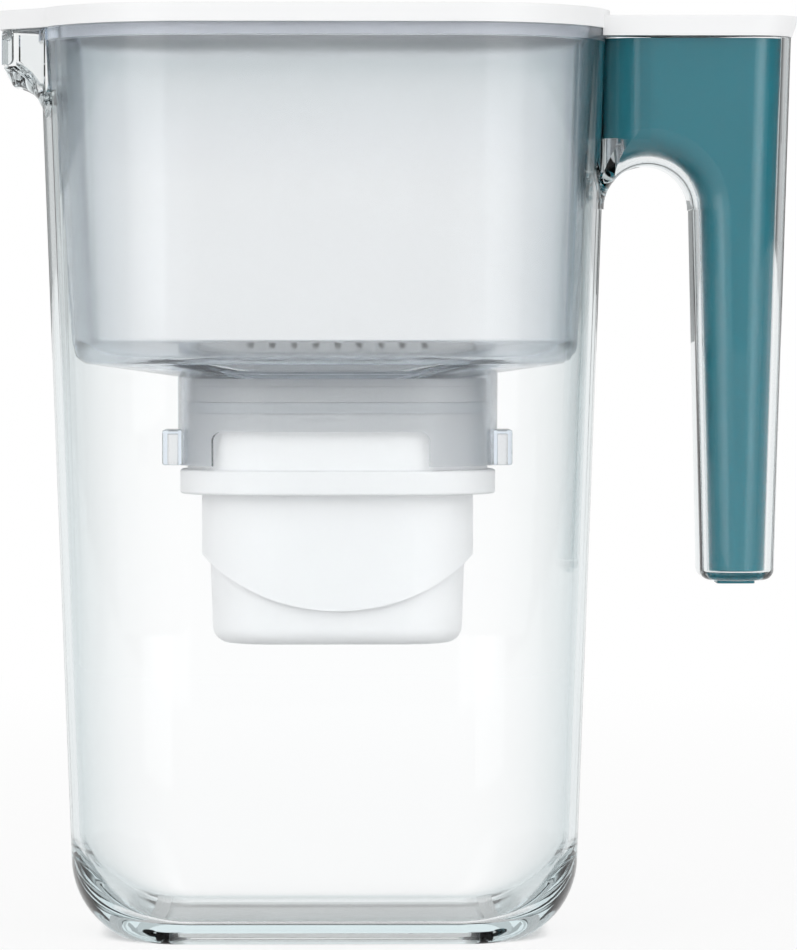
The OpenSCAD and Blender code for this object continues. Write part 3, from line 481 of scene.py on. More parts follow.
class Finish:
    """One procedural material, built on the piece's own coordinates."""

    def __init__(self, name, tree=None):
        if tree is None:
            self.material = bpy.data.materials.new(name)
            self.material.use_nodes = True
            tree = self.material.node_tree
        self.tree = tree
        self.tree.nodes.clear()

    def node(self, kind, settings=None, inputs=None, output=0):
        """Adds a node: its settings come first, then the values or links of its sockets."""
        made = self.tree.nodes.new(kind)
        for key, value in (settings or {}).items():
            if key == "stops":
                ramp = made.color_ramp
                for i, (at, colour) in enumerate(value):
                    stop = ramp.elements[i] if i < 2 else ramp.elements.new(at)
                    stop.position = at
                    stop.color = (*colour, 1.0)
            else:
                setattr(made, key, value)
        for key, value in (inputs or {}).items():
            if isinstance(value, Number):
                self.tree.links.new(value.socket, made.inputs[key])
            else:
                made.inputs[key].default_value = value
        return None if output is None else Number(self, made.outputs[output])

    def where(self):
        return self.node("ShaderNodeTexCoord", output="Object")

    def along(self, axis):
        """The piece's own X, Y or Z in metres, as a number."""
        return self.node("ShaderNodeSeparateXYZ", None, {0: self.where()}, output=axis)

    def noise(self, scale, detail=3.0, roughness=0.5):
        return self.node(
            "ShaderNodeTexNoise", {"noise_dimensions": "3D"},
            {"Vector": self.where(), "Scale": scale, "Detail": detail, "Roughness": roughness},
        )

    def step(self, value, low, high):
        """A smooth step from 0 at low to 1 at high."""
        return self.node(
            "ShaderNodeMapRange", {"interpolation_type": "SMOOTHSTEP"},
            {"Value": value, "From Min": low, "From Max": high, "To Min": 0.0, "To Max": 1.0},
        )

    def blend(self, share_of_second, first, second):
        """A colour between two colours."""
        return self.node(
            "ShaderNodeMix", {"data_type": "RGBA"},
            {0: share_of_second, 6: solid_colour(first), 7: solid_colour(second)}, output=2,
        )

    def bump(self, height, depth):
        return self.node("ShaderNodeBump", None, {"Height": height, "Distance": depth})

    def plastic(self, **inputs):
        """A Principled shader, whose inputs are named with _ for a space."""
        named = {key.replace("_", " "): value for key, value in inputs.items()}
        for key, value in named.items():
            named[key] = solid_colour(value) if key.endswith(("Color", "Tint")) else value
        return self.node("ShaderNodeBsdfPrincipled", None, named)

    def done(self, surface, volume=None):
        links = {"Surface": surface}
        if volume is not None:
            links["Volume"] = volume
        self.node("ShaderNodeOutputMaterial", None, links, output=None)
        return self.material


def solid_colour(value):
    """A colour for a socket: three numbers get their fourth, and a link stays as it is."""
    return value if isinstance(value, Number) else (*value, 1.0)


def clear_finish(name, colour, density, roughness, ripple, edge, painted_rim_shade=None, clear=1.0):
    """Clear moulded plastic: tinted through its thickness, and darker where it turns away from the
    eye, partly for the longer slant path and partly as painted edge shade and reflection;
    painted_rim_shade, if given, paints shade over its face.
    """
    finish = Finish(name)
    haze = finish.noise(35.0, 4.0)
    flow = finish.noise(14.0, 2.0)
    # painted edge shade: the colour goes towards edge where the surface turns away, partly for the
    # longer path, partly for the darker surroundings it refracts and mirrors
    turned = finish.node("ShaderNodeLayerWeight", None, {"Blend": 0.5}, output="Facing")
    # painted_rim_shade, when given, paints shade over the plastic's face
    face = (1.0, 1.0, 1.0) if painted_rim_shade is None else painted_rim_shade(finish)
    surface = finish.plastic(
        Base_Color=finish.blend(turned ** 1.3, face, edge), IOR=1.5, Transmission_Weight=clear,
        Specular_Tint=(0.3, 0.3, 0.3),
        Roughness=haze * roughness + roughness * 0.3, Normal=finish.bump(flow, ripple),
    )
    volume = finish.node(
        "ShaderNodeVolumeAbsorption", None,
        {"Color": solid_colour(colour), "Density": density}, output=0,
    )
    return finish.done(surface, volume)


def moulded_finish(name, colour, roughness, shift=0.03, grain=0.00002, coat=0.0):
    """Opaque moulded plastic with a fine grain, a cloudy sheen and a slight change of tone."""
    finish = Finish(name)
    cloud = finish.noise(22.0, 4.0)
    fine = finish.noise(900.0, 2.0)
    dark = tuple(c * (1 - shift) for c in colour)
    surface = finish.plastic(
        Base_Color=finish.blend(cloud, dark, colour), IOR=1.49,
        Roughness=cloud * 0.12 + (roughness - 0.06),
        Coat_Weight=coat, Coat_Roughness=0.08,
        Normal=finish.bump(fine + cloud * 2.0, grain),
    )
    return finish.done(surface)


def felt_finish(name, colour):
    """Pressed felt: a dense tangle of short fibres."""
    finish = Finish(name)
    tangle = finish.noise(1400.0, 6.0, 0.75)
    clump = finish.noise(260.0, 3.0)
    dark = tuple(c * 0.8 for c in colour)
    surface = finish.plastic(
        Base_Color=finish.blend(tangle, dark, colour), Roughness=0.95, Sheen_Weight=0.4,
        Normal=finish.bump(tangle + clump, 0.0003),
    )
    return finish.done(surface)


def grain_finish(name, low, high, scale, roughness, depth):
    """Packed grains or beads, each with its own tone."""
    finish = Finish(name)
    cells = {"Vector": finish.where(), "Scale": scale}
    tone = finish.node("ShaderNodeTexVoronoi", None, cells, output="Color")
    gap = finish.node("ShaderNodeTexVoronoi", None, cells, output="Distance")
    level = finish.node("ShaderNodeSeparateColor", None, {0: tone}, output=0)
    surface = finish.plastic(
        Base_Color=finish.blend(level, low, high), Roughness=roughness,
        Normal=finish.bump(1 - gap, depth),
    )
    return finish.done(surface)


def rubber_finish(name, colour):
    """Soft sealing rubber with a dusty bloom."""
    finish = Finish(name)
    bloom = finish.noise(120.0, 5.0)
    pale = tuple(c + 0.06 for c in colour)
    surface = finish.plastic(
        Base_Color=finish.blend(bloom, colour, pale), Roughness=bloom * 0.2 + 0.55,
        Normal=finish.bump(bloom, 0.00005),
    )
    return finish.done(surface)


def steel_finish(name):
    """Drawn steel wire, with fine scratches round it."""
    finish = Finish(name)
    stretch = finish.node(
        "ShaderNodeMapping", None, {"Vector": finish.where(), "Scale": (1.0, 40.0, 1.0)}
    )
    scratch = finish.node("ShaderNodeTexNoise", None, {"Vector": stretch, "Scale": 300.0})
    surface = finish.plastic(
        Base_Color=(0.62, 0.63, 0.65), Metallic=1.0, Roughness=scratch * 0.2 + 0.15,
        Normal=finish.bump(scratch, 0.00001),
    )
    return finish.done(surface)


# ---- Pieces ----

class PITCHER_OT_jug(Operator):
    """Make the clear jug: its body, spout and handle shell in one moulding"""
    bl_idname = "pitcher.jug"
    bl_label = "Clear jug"

    def execute(self, context):
        jug = context.scene.pitcher_jug
        hand = context.scene.pitcher_handle
        piece = jug_form("clear_jug", 0.0, 0.0, RIM_Z, jug.end_sweep, jug.foot_corner)
        carve(piece, "UNION", spout_form("spout_outside"))
        handle = handle_form("handle_outside", 0.0, BODY_LEN / 2 - HANDLE_LAP, SHELL_HIGH.z)
        carve(piece, "UNION", handle)
        # room over the jug's rim for the hopper's rim
        seat = (BODY_LEN / 2 + RIM_PLAY, BODY_WID / 2 + RIM_PLAY, jug.corner + RIM_PLAY)
        rim_room = [(MID_X, z, *seat) for z in (RIM_Z, RIM_Z + PAST_RIM)]
        carve(piece, "DIFFERENCE", stack("rim_room", rim_room))
        inside = jug_form(
            "jug_inside", jug.wall, jug.floor, RIM_Z + PAST_RIM, jug.inner_sweep,
            jug.foot_corner - jug.wall,
        )
        length, width, _ = body_at(0.0)
        foot = (
            length - jug.end_sweep - jug.foot_end, width - jug.side_sweep - jug.wall,
            jug.foot_corner - jug.wall,
        )
        recess = stack("recess", [(MID_X, z, *foot) for z in (-OVER, jug.recess)])
        top = SHELL_HIGH.z + OVER
        core_room = handle_form("core_room", hand.shell, BODY_LEN / 2 + CORE_GAP, top)
        half_y = SHELL_HIGH.y - hand.shell
        square_z = RIM_Z - hand.arch_drop + CORNER_RISE
        carve(core_room, "UNION", block(
            "near_corners", (MID_X + BODY_LEN / 2 + CORE_GAP, -half_y, square_z),
            (MID_X + BODY_LEN / 2 + hand.corner, half_y, top),
        ))
        slot = tongue("slot", hand.play, OVER, 2 * hand.shell)
        carve(piece, "DIFFERENCE", inside, recess, core_room, slot)
        carve(piece, "DIFFERENCE", spout_channel("channel"), flap_room("flap_room"))
        shade_smooth(piece)
        colours = context.scene.pitcher_colours
        finish = clear_finish(
            "clear_plastic", colours.clear, density=8.0, roughness=0.02, ripple=0.00004,
            edge=colours.edge,
        )
        place(
            piece, "jug_body", "clear_plastic", finish,
            "jug", "spout", "spout_lip", "handle_shell",
        )
        return {"FINISHED"}


def spout_half(x):
    """Half width of the spout at x."""
    spout = bpy.context.scene.pitcher_spout
    slope = (spout.root_wid - spout.tip_wid) / 2 / (JUG_LOW.x - TIP_X)
    return spout.tip_wid / 2 + slope * (x - TIP_X)


def underside(x):
    """Height of the spout's underside at x: down to its chin, then round into the body."""
    spout = bpy.context.scene.pitcher_spout
    chin_x, chin_z = TIP_X + CHIN_BACK, SPOUT_HIGH.z - spout.chin
    lip_z = SPOUT_HIGH.z - spout.window
    if x <= chin_x:
        return lip_z + (chin_z - lip_z) * (x - TIP_X) / (chin_x - TIP_X)
    root_z = SPOUT_LOW.z
    wall_x = MID_X - body_at(root_z)[0]
    sag = chin_z - root_z
    sag_r = ((wall_x - chin_x) ** 2 + sag ** 2) / (2 * sag)
    return chin_z - sag_r + sqrt(max(sag_r ** 2 - (x - chin_x) ** 2, 0.0))


def upright(bm, x, low, high, half_y, corner):
    """A loop like ring's that stands across X, from low to high."""
    edges = ring(bm, 0.0, 0.0, (high - low) / 2, half_y, corner)
    verts = verts_of(edges)
    bmesh.ops.rotate(bm, verts=verts, cent=(0, 0, 0), matrix=Matrix.Rotation(radians(90), 3, "Y"))
    bmesh.ops.translate(bm, verts=verts, vec=(x, 0, (low + high) / 2))
    return edges


def spout_form(name):
    """The outside of the spout, lofted from its tip back into the wall and cut level on top."""
    spout = bpy.context.scene.pitcher_spout
    root_x = MID_X - body_at(SPOUT_LOW.z)[0] + ROOT_LAP
    stations = [0.0, 0.05, 0.12, 0.2, 0.25, 0.3, 0.4, 0.5, 0.6, 0.7, 0.8, 0.9, 1.0]
    bm = bmesh.new()
    loops = []
    for t in stations:
        x = TIP_X + (root_x - TIP_X) * t
        half = spout_half(x)
        loops.append(upright(
            bm, x, underside(x), SPOUT_HIGH.z + PAST_SPOUT, half, min(spout.keel, half - MM)
        ))
    loft(bm, loops)
    top = bmesh.ops.bisect_plane(
        bm, geom=bm.verts[:] + bm.edges[:] + bm.faces[:], plane_co=(0, 0, SPOUT_HIGH.z),
        plane_no=(0, 0, 1), clear_outer=True,
    )["geom_cut"]
    bmesh.ops.edgeloop_fill(bm, edges=[e for e in top if isinstance(e, bmesh.types.BMEdge)])
    return solid(name, bm)


def spout_channel(name):
    """The channel inside the spout, open at its tip and into the jug."""
    spout = bpy.context.scene.pitcher_spout
    lip_z = SPOUT_HIGH.z - spout.window
    # the channel's floor, in mm: back from the tip, down from the lip
    floor = [(-1, 0.0), (0, 0.0), (4, 0.9), (6, 1.9), (8, 3.2), (10, 5.4), (12, 8.2), (19.8, 8.2)]
    bm = bmesh.new()
    loops = []
    for back, drop in floor:
        x = TIP_X + back * MM
        half = spout_half(max(x, TIP_X)) - spout.wall
        loops.append(upright(
            bm, x, lip_z - drop * MM, SPOUT_HIGH.z + PAST_SPOUT, half,
            min(spout.keel - spout.wall, half - MM),
        ))
    loft(bm, loops)
    return solid(name, bm)


def flap_room(name):
    """Room for the spout flap and its cheeks."""
    spout = bpy.context.scene.pitcher_spout
    low = (TIP_X - OVER, -spout.root_wid, SPOUT_HIGH.z - spout.window)
    high = (TIP_X + spout.cheek, spout.root_wid, SPOUT_HIGH.z + OVER)
    return block(name, low, high)


def grip_edges(z):
    """Inner and outer edge of the grip at a height."""
    hand = bpy.context.scene.pitcher_handle
    arch_z = RIM_Z - hand.arch_drop
    inner = MID_X + body_at(arch_z)[0] + hand.gap + (arch_z - z) * hand.inner_lean
    outer = JUG_HIGH.x + hand.reach - (RIM_Z - z) * hand.outer_lean
    return inner, outer


def bar(x0, x1, half_y, corner, z):
    """A row of stack for a section of the handle."""
    return (x0 + x1) / 2, z, (x1 - x0) / 2, half_y, corner


def handle_form(name, inset, start, top):
    """The handle's form, set in by inset, from start (measured from the jug's middle) up to top."""
    hand = bpy.context.scene.pitcher_handle
    half_y = SHELL_HIGH.y - inset
    corner = hand.corner - inset
    arch_z = RIM_Z - hand.arch_drop
    arch_r = hand.gap / 2
    spring = arch_z - arch_r
    low = RIM_Z - hand.drop + inset
    end_r = max(hand.end - inset, END_LEAST)
    piece = stack(name, [
        bar(MID_X + start, grip_edges(z)[1] - inset, half_y, corner, z) for z in (spring, top)
    ])
    carve(piece, "DIFFERENCE", finger_arch("arch", inset))
    rows = []
    for back, rise in quarter(6):
        z, more = low + end_r * rise, inset + end_r * back
        inner, outer = grip_edges(z)
        rows.append(bar(inner + more, outer - more, SHELL_HIGH.y - more, hand.corner - more, z))
    z = arch_z + arch_r / 2
    inner, outer = grip_edges(z)
    rows.append(bar(inner + inset, outer - inset, half_y, corner, z))
    return carve(piece, "UNION", stack("grip", rows))


def finger_arch(name, grow):
    """The arch over the fingers, with flared edges, turned about an axis along Y."""
    hand = bpy.context.scene.pitcher_handle
    arch_r, arch_z = hand.gap / 2, RIM_Z - hand.arch_drop
    radius = arch_r + grow
    flare = hand.corner - grow
    flat = SHELL_HIGH.y - hand.corner
    centre = Vector((grip_edges(arch_z)[0] - arch_r, 0, arch_z - arch_r))
    steps = 12
    edge = [
        (radius + flare * (1 - cos(pi / 2 * i / steps)), flat + flare * sin(pi / 2 * i / steps))
        for i in range(steps)
    ]
    reach, side = radius + flare + 2 * MM, flat + flare + MM
    half = [(0.0, side), (reach, side), *reversed(edge)]
    bm = bmesh.new()
    verts = [bm.verts.new(centre + Vector((r, y, 0))) for r, y in half]
    verts += [bm.verts.new(centre + Vector((r, -y, 0))) for r, y in reversed(half)]
    edges = [bm.edges.new(pair) for pair in zip(verts, verts[1:])]
    bmesh.ops.spin(
        bm, geom=verts + edges, cent=centre, axis=(0, 1, 0), dvec=(0, 0, 0), angle=2 * pi,
        steps=96, use_merge=True, use_duplicate=False,
    )
    return solid(name, bm)


def tongue(name, grow, below, above):
    """The tongue at the bottom of the grip, or the slot for it, grown by grow."""
    hand = bpy.context.scene.pitcher_handle
    low = RIM_Z - hand.drop
    middle = sum(grip_edges(low)) / 2
    half = (hand.tongue_len / 2 + grow, hand.tongue_wid / 2 + grow, TONGUE_CORNER)
    return stack(name, [(middle, z, *half) for z in (low - below, low + above)])


class PITCHER_OT_handle_core(Operator):
    """Make the coloured core that fills the handle"""
    bl_idname = "pitcher.handle_core"
    bl_label = "Handle core"

    def execute(self, context):
        hand = context.scene.pitcher_handle
        inset = hand.shell + hand.play
        start = CORE_LOW.x - MID_X
        piece = handle_form("teal_core", inset, start, CORE_HIGH.z)
        deeper = inset + hand.core_wall
        carve(piece, "DIFFERENCE", handle_form(
            "hollow", deeper, start + hand.core_wall, CORE_HIGH.z + OVER
        ))
        drop = RIM_Z - hand.drop - CORE_LOW.z
        carve(piece, "UNION", tongue("tongue", 0.0, drop, inset + MM))
        shade_smooth(piece)
        colours = context.scene.pitcher_colours
        finish = moulded_finish(
            "teal_plastic", colours.teal, roughness=0.3, shift=0.08, coat=0.3
        )
        place(piece, "jug_body", "teal_plastic", finish, "handle_core")
        return {"FINISHED"}


def hopper_at(z, inset=0.0):
    """Half length, half width and corner radius of the hopper at a height, set in by inset."""
    hop = bpy.context.scene.pitcher_hopper
    wall = bpy.context.scene.pitcher_jug.wall
    return body_at(z, wall + hop.gap + (RIM_Z - z) * hop.growth + inset)


def hopper_form(name, inset, low, high):
    """The hopper's form, set in from its outside, with its lowest floor at low."""
    hop = bpy.context.scene.pitcher_hopper
    half_y = hopper_at(low, inset + hop.level_in)[1]
    rows = [(MID_X, low, hop.level_len, half_y, hop.level_corner)]
    for back, rise in quarter(8):
        z = low + hop.rise + hop.turn * rise
        rows.append((MID_X, z, *hopper_at(z, inset + hop.turn * back)))
    rows.append((MID_X, high, *hopper_at(high, inset)))
    return stack(name, rows)


def pour_channel(name, grow, low, high):
    """The round channel in the spout end of the hopper."""
    hop = bpy.context.scene.pitcher_hopper
    end = hopper_at(RIM_Z)[0]
    axis = MID_X - (end + hop.channel_r - hop.channel_depth)
    deep_r = hop.channel_r + end - hopper_at(low)[0]
    bm = bmesh.new()
    bmesh.ops.create_cone(
        bm, cap_ends=True, segments=160, radius1=deep_r + grow, radius2=hop.channel_r + grow,
        depth=high - low, matrix=Matrix.Translation((axis, 0, (low + high) / 2)),
    )
    return solid(name, bm)


class PITCHER_OT_hopper(Operator):
    """Make the hopper with its rim, pouring channel and the well for the cartridge"""
    bl_idname = "pitcher.hopper"
    bl_label = "Hopper"

    def execute(self, context):
        hop = context.scene.pitcher_hopper
        corner = context.scene.pitcher_jug.corner
        low, top = HOPPER_LOW.z, HOPPER_HIGH.z
        rim_low = top - hop.flange
        piece = hopper_form("milky_hopper", 0.0, low, rim_low + LAP)
        channel = pour_channel("outer_channel", 0.0, low - OVER, rim_low + 2 * OVER)
        carve(piece, "DIFFERENCE", channel)
        rim = [(MID_X, z, BODY_LEN / 2, BODY_WID / 2, corner) for z in (rim_low, top)]
        carve(piece, "UNION", stack("hopper_rim", rim))
        # the skirt and its clips
        well_len = (WELL_HIGH.x - WELL_LOW.x) / 2 - CLIP_REACH - hop.skirt
        well_wid = (WELL_HIGH.y - WELL_LOW.y) / 2 - hop.skirt
        outer_len, outer_wid = well_len + hop.skirt, well_wid + hop.skirt
        skirt = oval("skirt", outer_len, outer_wid, WELL_LOW.z, low + hop.rise)
        for side in (-1, 1):
            carve(skirt, "UNION", self.clip(side, well_len))
        carve(skirt, "DIFFERENCE", oval(
            "skirt_inside", well_len, well_wid, WELL_LOW.z - OVER, low + SKIRT_CUT
        ))
        carve(skirt, "DIFFERENCE", self.window())
        inside = hopper_form("tank", hop.wall, low + hop.wall, top + OVER)
        channel = pour_channel("inner_channel", hop.wall, low - OVER, top + 2 * OVER)
        carve(inside, "DIFFERENCE", channel)
        carve(piece, "DIFFERENCE", inside)
        carve(piece, "UNION", skirt)
        carve(piece, "DIFFERENCE", oval(
            "mouth", well_len - hop.mouth_in, well_wid - hop.mouth_in, low - OVER, low + MOUTH_CUT
        ))
        shade_smooth(piece)
        colours = context.scene.pitcher_colours
        finish = clear_finish(
            "hopper_plastic", colours.milky, density=25.0, roughness=0.16, ripple=0.00006,
            edge=colours.milky_edge, painted_rim_shade=self.painted_rim_shade, clear=0.93,
        )
        place(
            piece, "hopper_body", "hopper_plastic", finish,
            "hopper", "hopper_floor", "hopper_rim", "filter_well",
        )
        return {"FINISHED"}

    def painted_rim_shade(self, finish):
        """Painted shade under the lid: the hopper's plastic is coloured darker in a band just under
        its rim, where the lid's shade falls.
        """
        rim_shade_stops = [
            (0.55, (1.0, 1.0, 1.0)), (0.70, (0.965, 0.97, 0.975)), (0.84, (0.92, 0.935, 0.94)),
            (0.94, (0.80, 0.83, 0.84)), (0.96, (0.97, 0.97, 0.99)),
        ]
        # painted shade: white low down, darkest just under the rim, a little lighter again in the
        # rim itself
        height = (finish.along("Z") - HOPPER_LOW.z) / (HOPPER_HIGH.z - HOPPER_LOW.z)
        return finish.node("ShaderNodeValToRGB", {"stops": rim_shade_stops}, {"Fac": height}, output="Color")

    def clip(self, side, well_len):
        """The hooded clip at an end of the skirt: side is -1 at the spout, 1 at the handle."""
        hop = bpy.context.scene.pitcher_hopper
        end = CUP_X + side * (well_len + CLIP_REACH + hop.skirt)
        start = CUP_X + side * (well_len - MM)
        low, high = WELL_LOW.z, WELL_LOW.z + hop.clip_h
        half = hop.clip_wid / 2
        outer = block("clip", (min(start, end), -half, low), (max(start, end), half, high))
        round_edges(outer, CLIP_ROUND)
        near = CUP_X + side * (well_len + hop.skirt)
        far = end - side * hop.clip_wall
        hollow = block(
            "clip_hollow", (min(near, far), -half + hop.clip_wall, low - OVER),
            (max(near, far), half - hop.clip_wall, high - hop.clip_wall),
        )
        return carve(outer, "DIFFERENCE", hollow)

    def window(self):
        """The window through both broad sides of the skirt."""
        hop = bpy.context.scene.pitcher_hopper
        x = CUP_X - hop.window_shift
        bm = bmesh.new()
        loops = []
        height = 2 * hop.window_h
        for y in (-1, 1):
            edges = ring(bm, 0.0, 0.0, hop.window_wid / 2, height / 2, hop.window_r)
            verts = verts_of(edges)
            bmesh.ops.rotate(
                bm, verts=verts, cent=(0, 0, 0), matrix=Matrix.Rotation(radians(90), 3, "X")
            )
            bmesh.ops.translate(bm, verts=verts, vec=(x, y * BODY_WID / 2, WELL_LOW.z))
            loops.append(edges)
        loft(bm, loops)
        return solid("window", bm)


class PITCHER_OT_cartridge(Operator):
    """Make the cartridge's cup and finish what it holds"""
    bl_idname = "pitcher.cartridge"
    bl_label = "Filter cartridge"

    def execute(self, context):
        cart = context.scene.pitcher_cartridge
        colours = context.scene.pitcher_colours
        half_len = (CUP_HIGH.x - CUP_LOW.x) / 2
        half_wid = (CUP_HIGH.y - CUP_LOW.y) / 2
        ring_z = CUP_LOW.z + cart.cup_h
        ring_top = ring_z + cart.ring_h
        len_low = half_len - cart.inset - cart.step_in
        wid_low = half_wid - cart.inset - cart.step_in
        piece = self.cup("white_cartridge", 0.0, CUP_LOW.z, ring_z + LAP, len_low, wid_low)
        carve(piece, "UNION", self.apron(half_len - cart.inset, half_wid - cart.inset, ring_z))
        edge = cart.ring_r
        rim = [(ring_z + edge * rise, edge * back) for back, rise in quarter(4)]
        rim += [(ring_z + ring_top - z, back) for z, back in reversed(rim)]
        carve(piece, "UNION", stack("ring", [
            (CUP_X, z, half_len - back, half_wid - back, half_wid - back) for z, back in rim
        ]))
        neck_len, neck_wid = half_len - cart.neck_in, half_wid - cart.neck_in
        carve(piece, "UNION", oval("neck", neck_len, neck_wid, ring_top - LAP, CUP_HIGH.z))
        shoulder = ring_z + SHOULDER
        inside = self.cup(
            "inside", cart.wall, CUP_LOW.z + cart.wall, ring_z + LAP, len_low, wid_low
        )
        carve(inside, "UNION", oval(
            "waist", len_low - cart.wall, wid_low - cart.wall, ring_z, shoulder + LAP
        ))
        carve(inside, "UNION", oval(
            "chamber", neck_len - cart.neck_wall, neck_wid - cart.neck_wall, shoulder,
            CUP_HIGH.z + OVER,
        ))
        carve(piece, "DIFFERENCE", inside)
        seal_low, seal_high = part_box("cartridge_seal")
        groove_low, groove_high = seal_low.z - SEAL_PLAY, seal_high.z + SEAL_PLAY
        groove = oval("groove", half_len, half_wid, groove_low, groove_high)
        carve(groove, "DIFFERENCE", oval(
            "groove_floor", neck_len - GROOVE, neck_wid - GROOVE,
            seal_low.z - OVER, seal_high.z + OVER,
        ))
        carve(piece, "DIFFERENCE", groove)
        slot_len = len_low - cart.end - cart.taper
        slot_wid = wid_low - cart.end - cart.taper
        pitch = 2 * (slot_len - slot_wid / 2) / cart.slots
        for i in range(cart.slots):
            x = CUP_X + (i - (cart.slots - 1) / 2) * pitch
            half = cart.slot_wid / 2
            carve(piece, "DIFFERENCE", stack("slot", [
                (x, z, half, slot_wid, half)
                for z in (CUP_LOW.z - OVER, CUP_LOW.z + cart.wall + OVER)
            ]))
        shade_smooth(piece)
        finish = moulded_finish("cartridge_plastic", colours.cartridge, roughness=0.42)
        place(piece, "cartridge_body", "cartridge_plastic", finish, "cartridge_cup")
        coat(finish, "cartridge_cap")
        coat(rubber_finish("seal_rubber", (0.84, 0.86, 0.88)), "cartridge_seal")
        felt = felt_finish("filter_felt", (0.82, 0.82, 0.80))
        coat(felt, "inlet_screen", "bed_divider", "outlet_screen")
        carbon = grain_finish(
            "carbon", (0.006, 0.006, 0.007), (0.035, 0.035, 0.04), scale=900.0, roughness=0.6,
            depth=0.0006,
        )
        coat(carbon, "carbon_bed")
        resin = grain_finish(
            "resin", (0.55, 0.36, 0.14), (0.80, 0.62, 0.34), scale=1100.0, roughness=0.3,
            depth=0.0005,
        )
        coat(resin, "resin_bed")
        return {"FINISHED"}

    def cup(self, name, inset, low, high, length, width):
        """The lower half of the cup, set in by inset."""
        cart = bpy.context.scene.pitcher_cartridge
        end_r = max(cart.end - inset, MM)
        rows = []
        for back, rise in quarter(6):
            more = inset + cart.taper + end_r * back
            rows.append((CUP_X, low + end_r * rise, length - more, width - more, width))
        rows.append((CUP_X, high, length - inset, width - inset, width))
        return stack(name, rows)

    def apron(self, length, width, ring_z):
        """The upper half of the cup: cut level at its two ends, along an arc on its broad sides."""
        cart = bpy.context.scene.pitcher_cartridge
        rise = cart.apron_drop - cart.step_drop
        arc_r = (length ** 2 + rise ** 2) / (2 * rise)
        low = ring_z - cart.apron_drop
        piece = oval("apron", length, width, low - OVER, ring_z + LAP)
        half_y = BODY_WID / 2
        shape = barrel("arc", CUP_X, low + arc_r, arc_r, half_y, segments=720)
        carve(shape, "UNION", block(
            "ends", (CUP_X - 2 * length, -half_y, ring_z - cart.step_drop),
            (CUP_X + 2 * length, half_y, ring_z + 2 * OVER),
        ))
        return carve(piece, "INTERSECT", shape)


class PITCHER_OT_lid(Operator):
    """Make the white lid, its filling flap and their pins"""
    bl_idname = "pitcher.lid"
    bl_label = "Lid"

    def execute(self, context):
        colours = context.scene.pitcher_colours
        white = moulded_finish("white_plastic", colours.white, roughness=0.34)
        for node, name, body, radius in (
            ("lid", "white_lid", "lid_body", LID_ROUND),
            ("fill_flap", "white_flap", "fill_flap_body", FLAP_ROUND),
        ):
            piece = copy_of(node, name)
            round_edges(piece, radius)
            shade_smooth(piece)
            place(piece, body, "white_plastic", white, node)
        coat(white, "flap_ears")
        coat(steel_finish("pin_steel"), "fill_flap_pin", "spout_flap_pin")
        return {"FINISHED"}


class PITCHER_OT_spout_flap(Operator):
    """Make the clear flap that closes the spout"""
    bl_idname = "pitcher.spout_flap"
    bl_label = "Spout flap"

    def execute(self, context):
        colours = context.scene.pitcher_colours
        piece = copy_of("spout_flap", "clear_spout_flap")
        shade_smooth(piece)
        finish = clear_finish(
            "flap_plastic", colours.clear, density=20.0, roughness=0.02, ripple=0.00002,
            edge=colours.edge,
        )
        place(piece, "spout_flap_body", "clear_plastic", finish, "spout_flap")
        return {"FINISHED"}


# ---- Stage ----

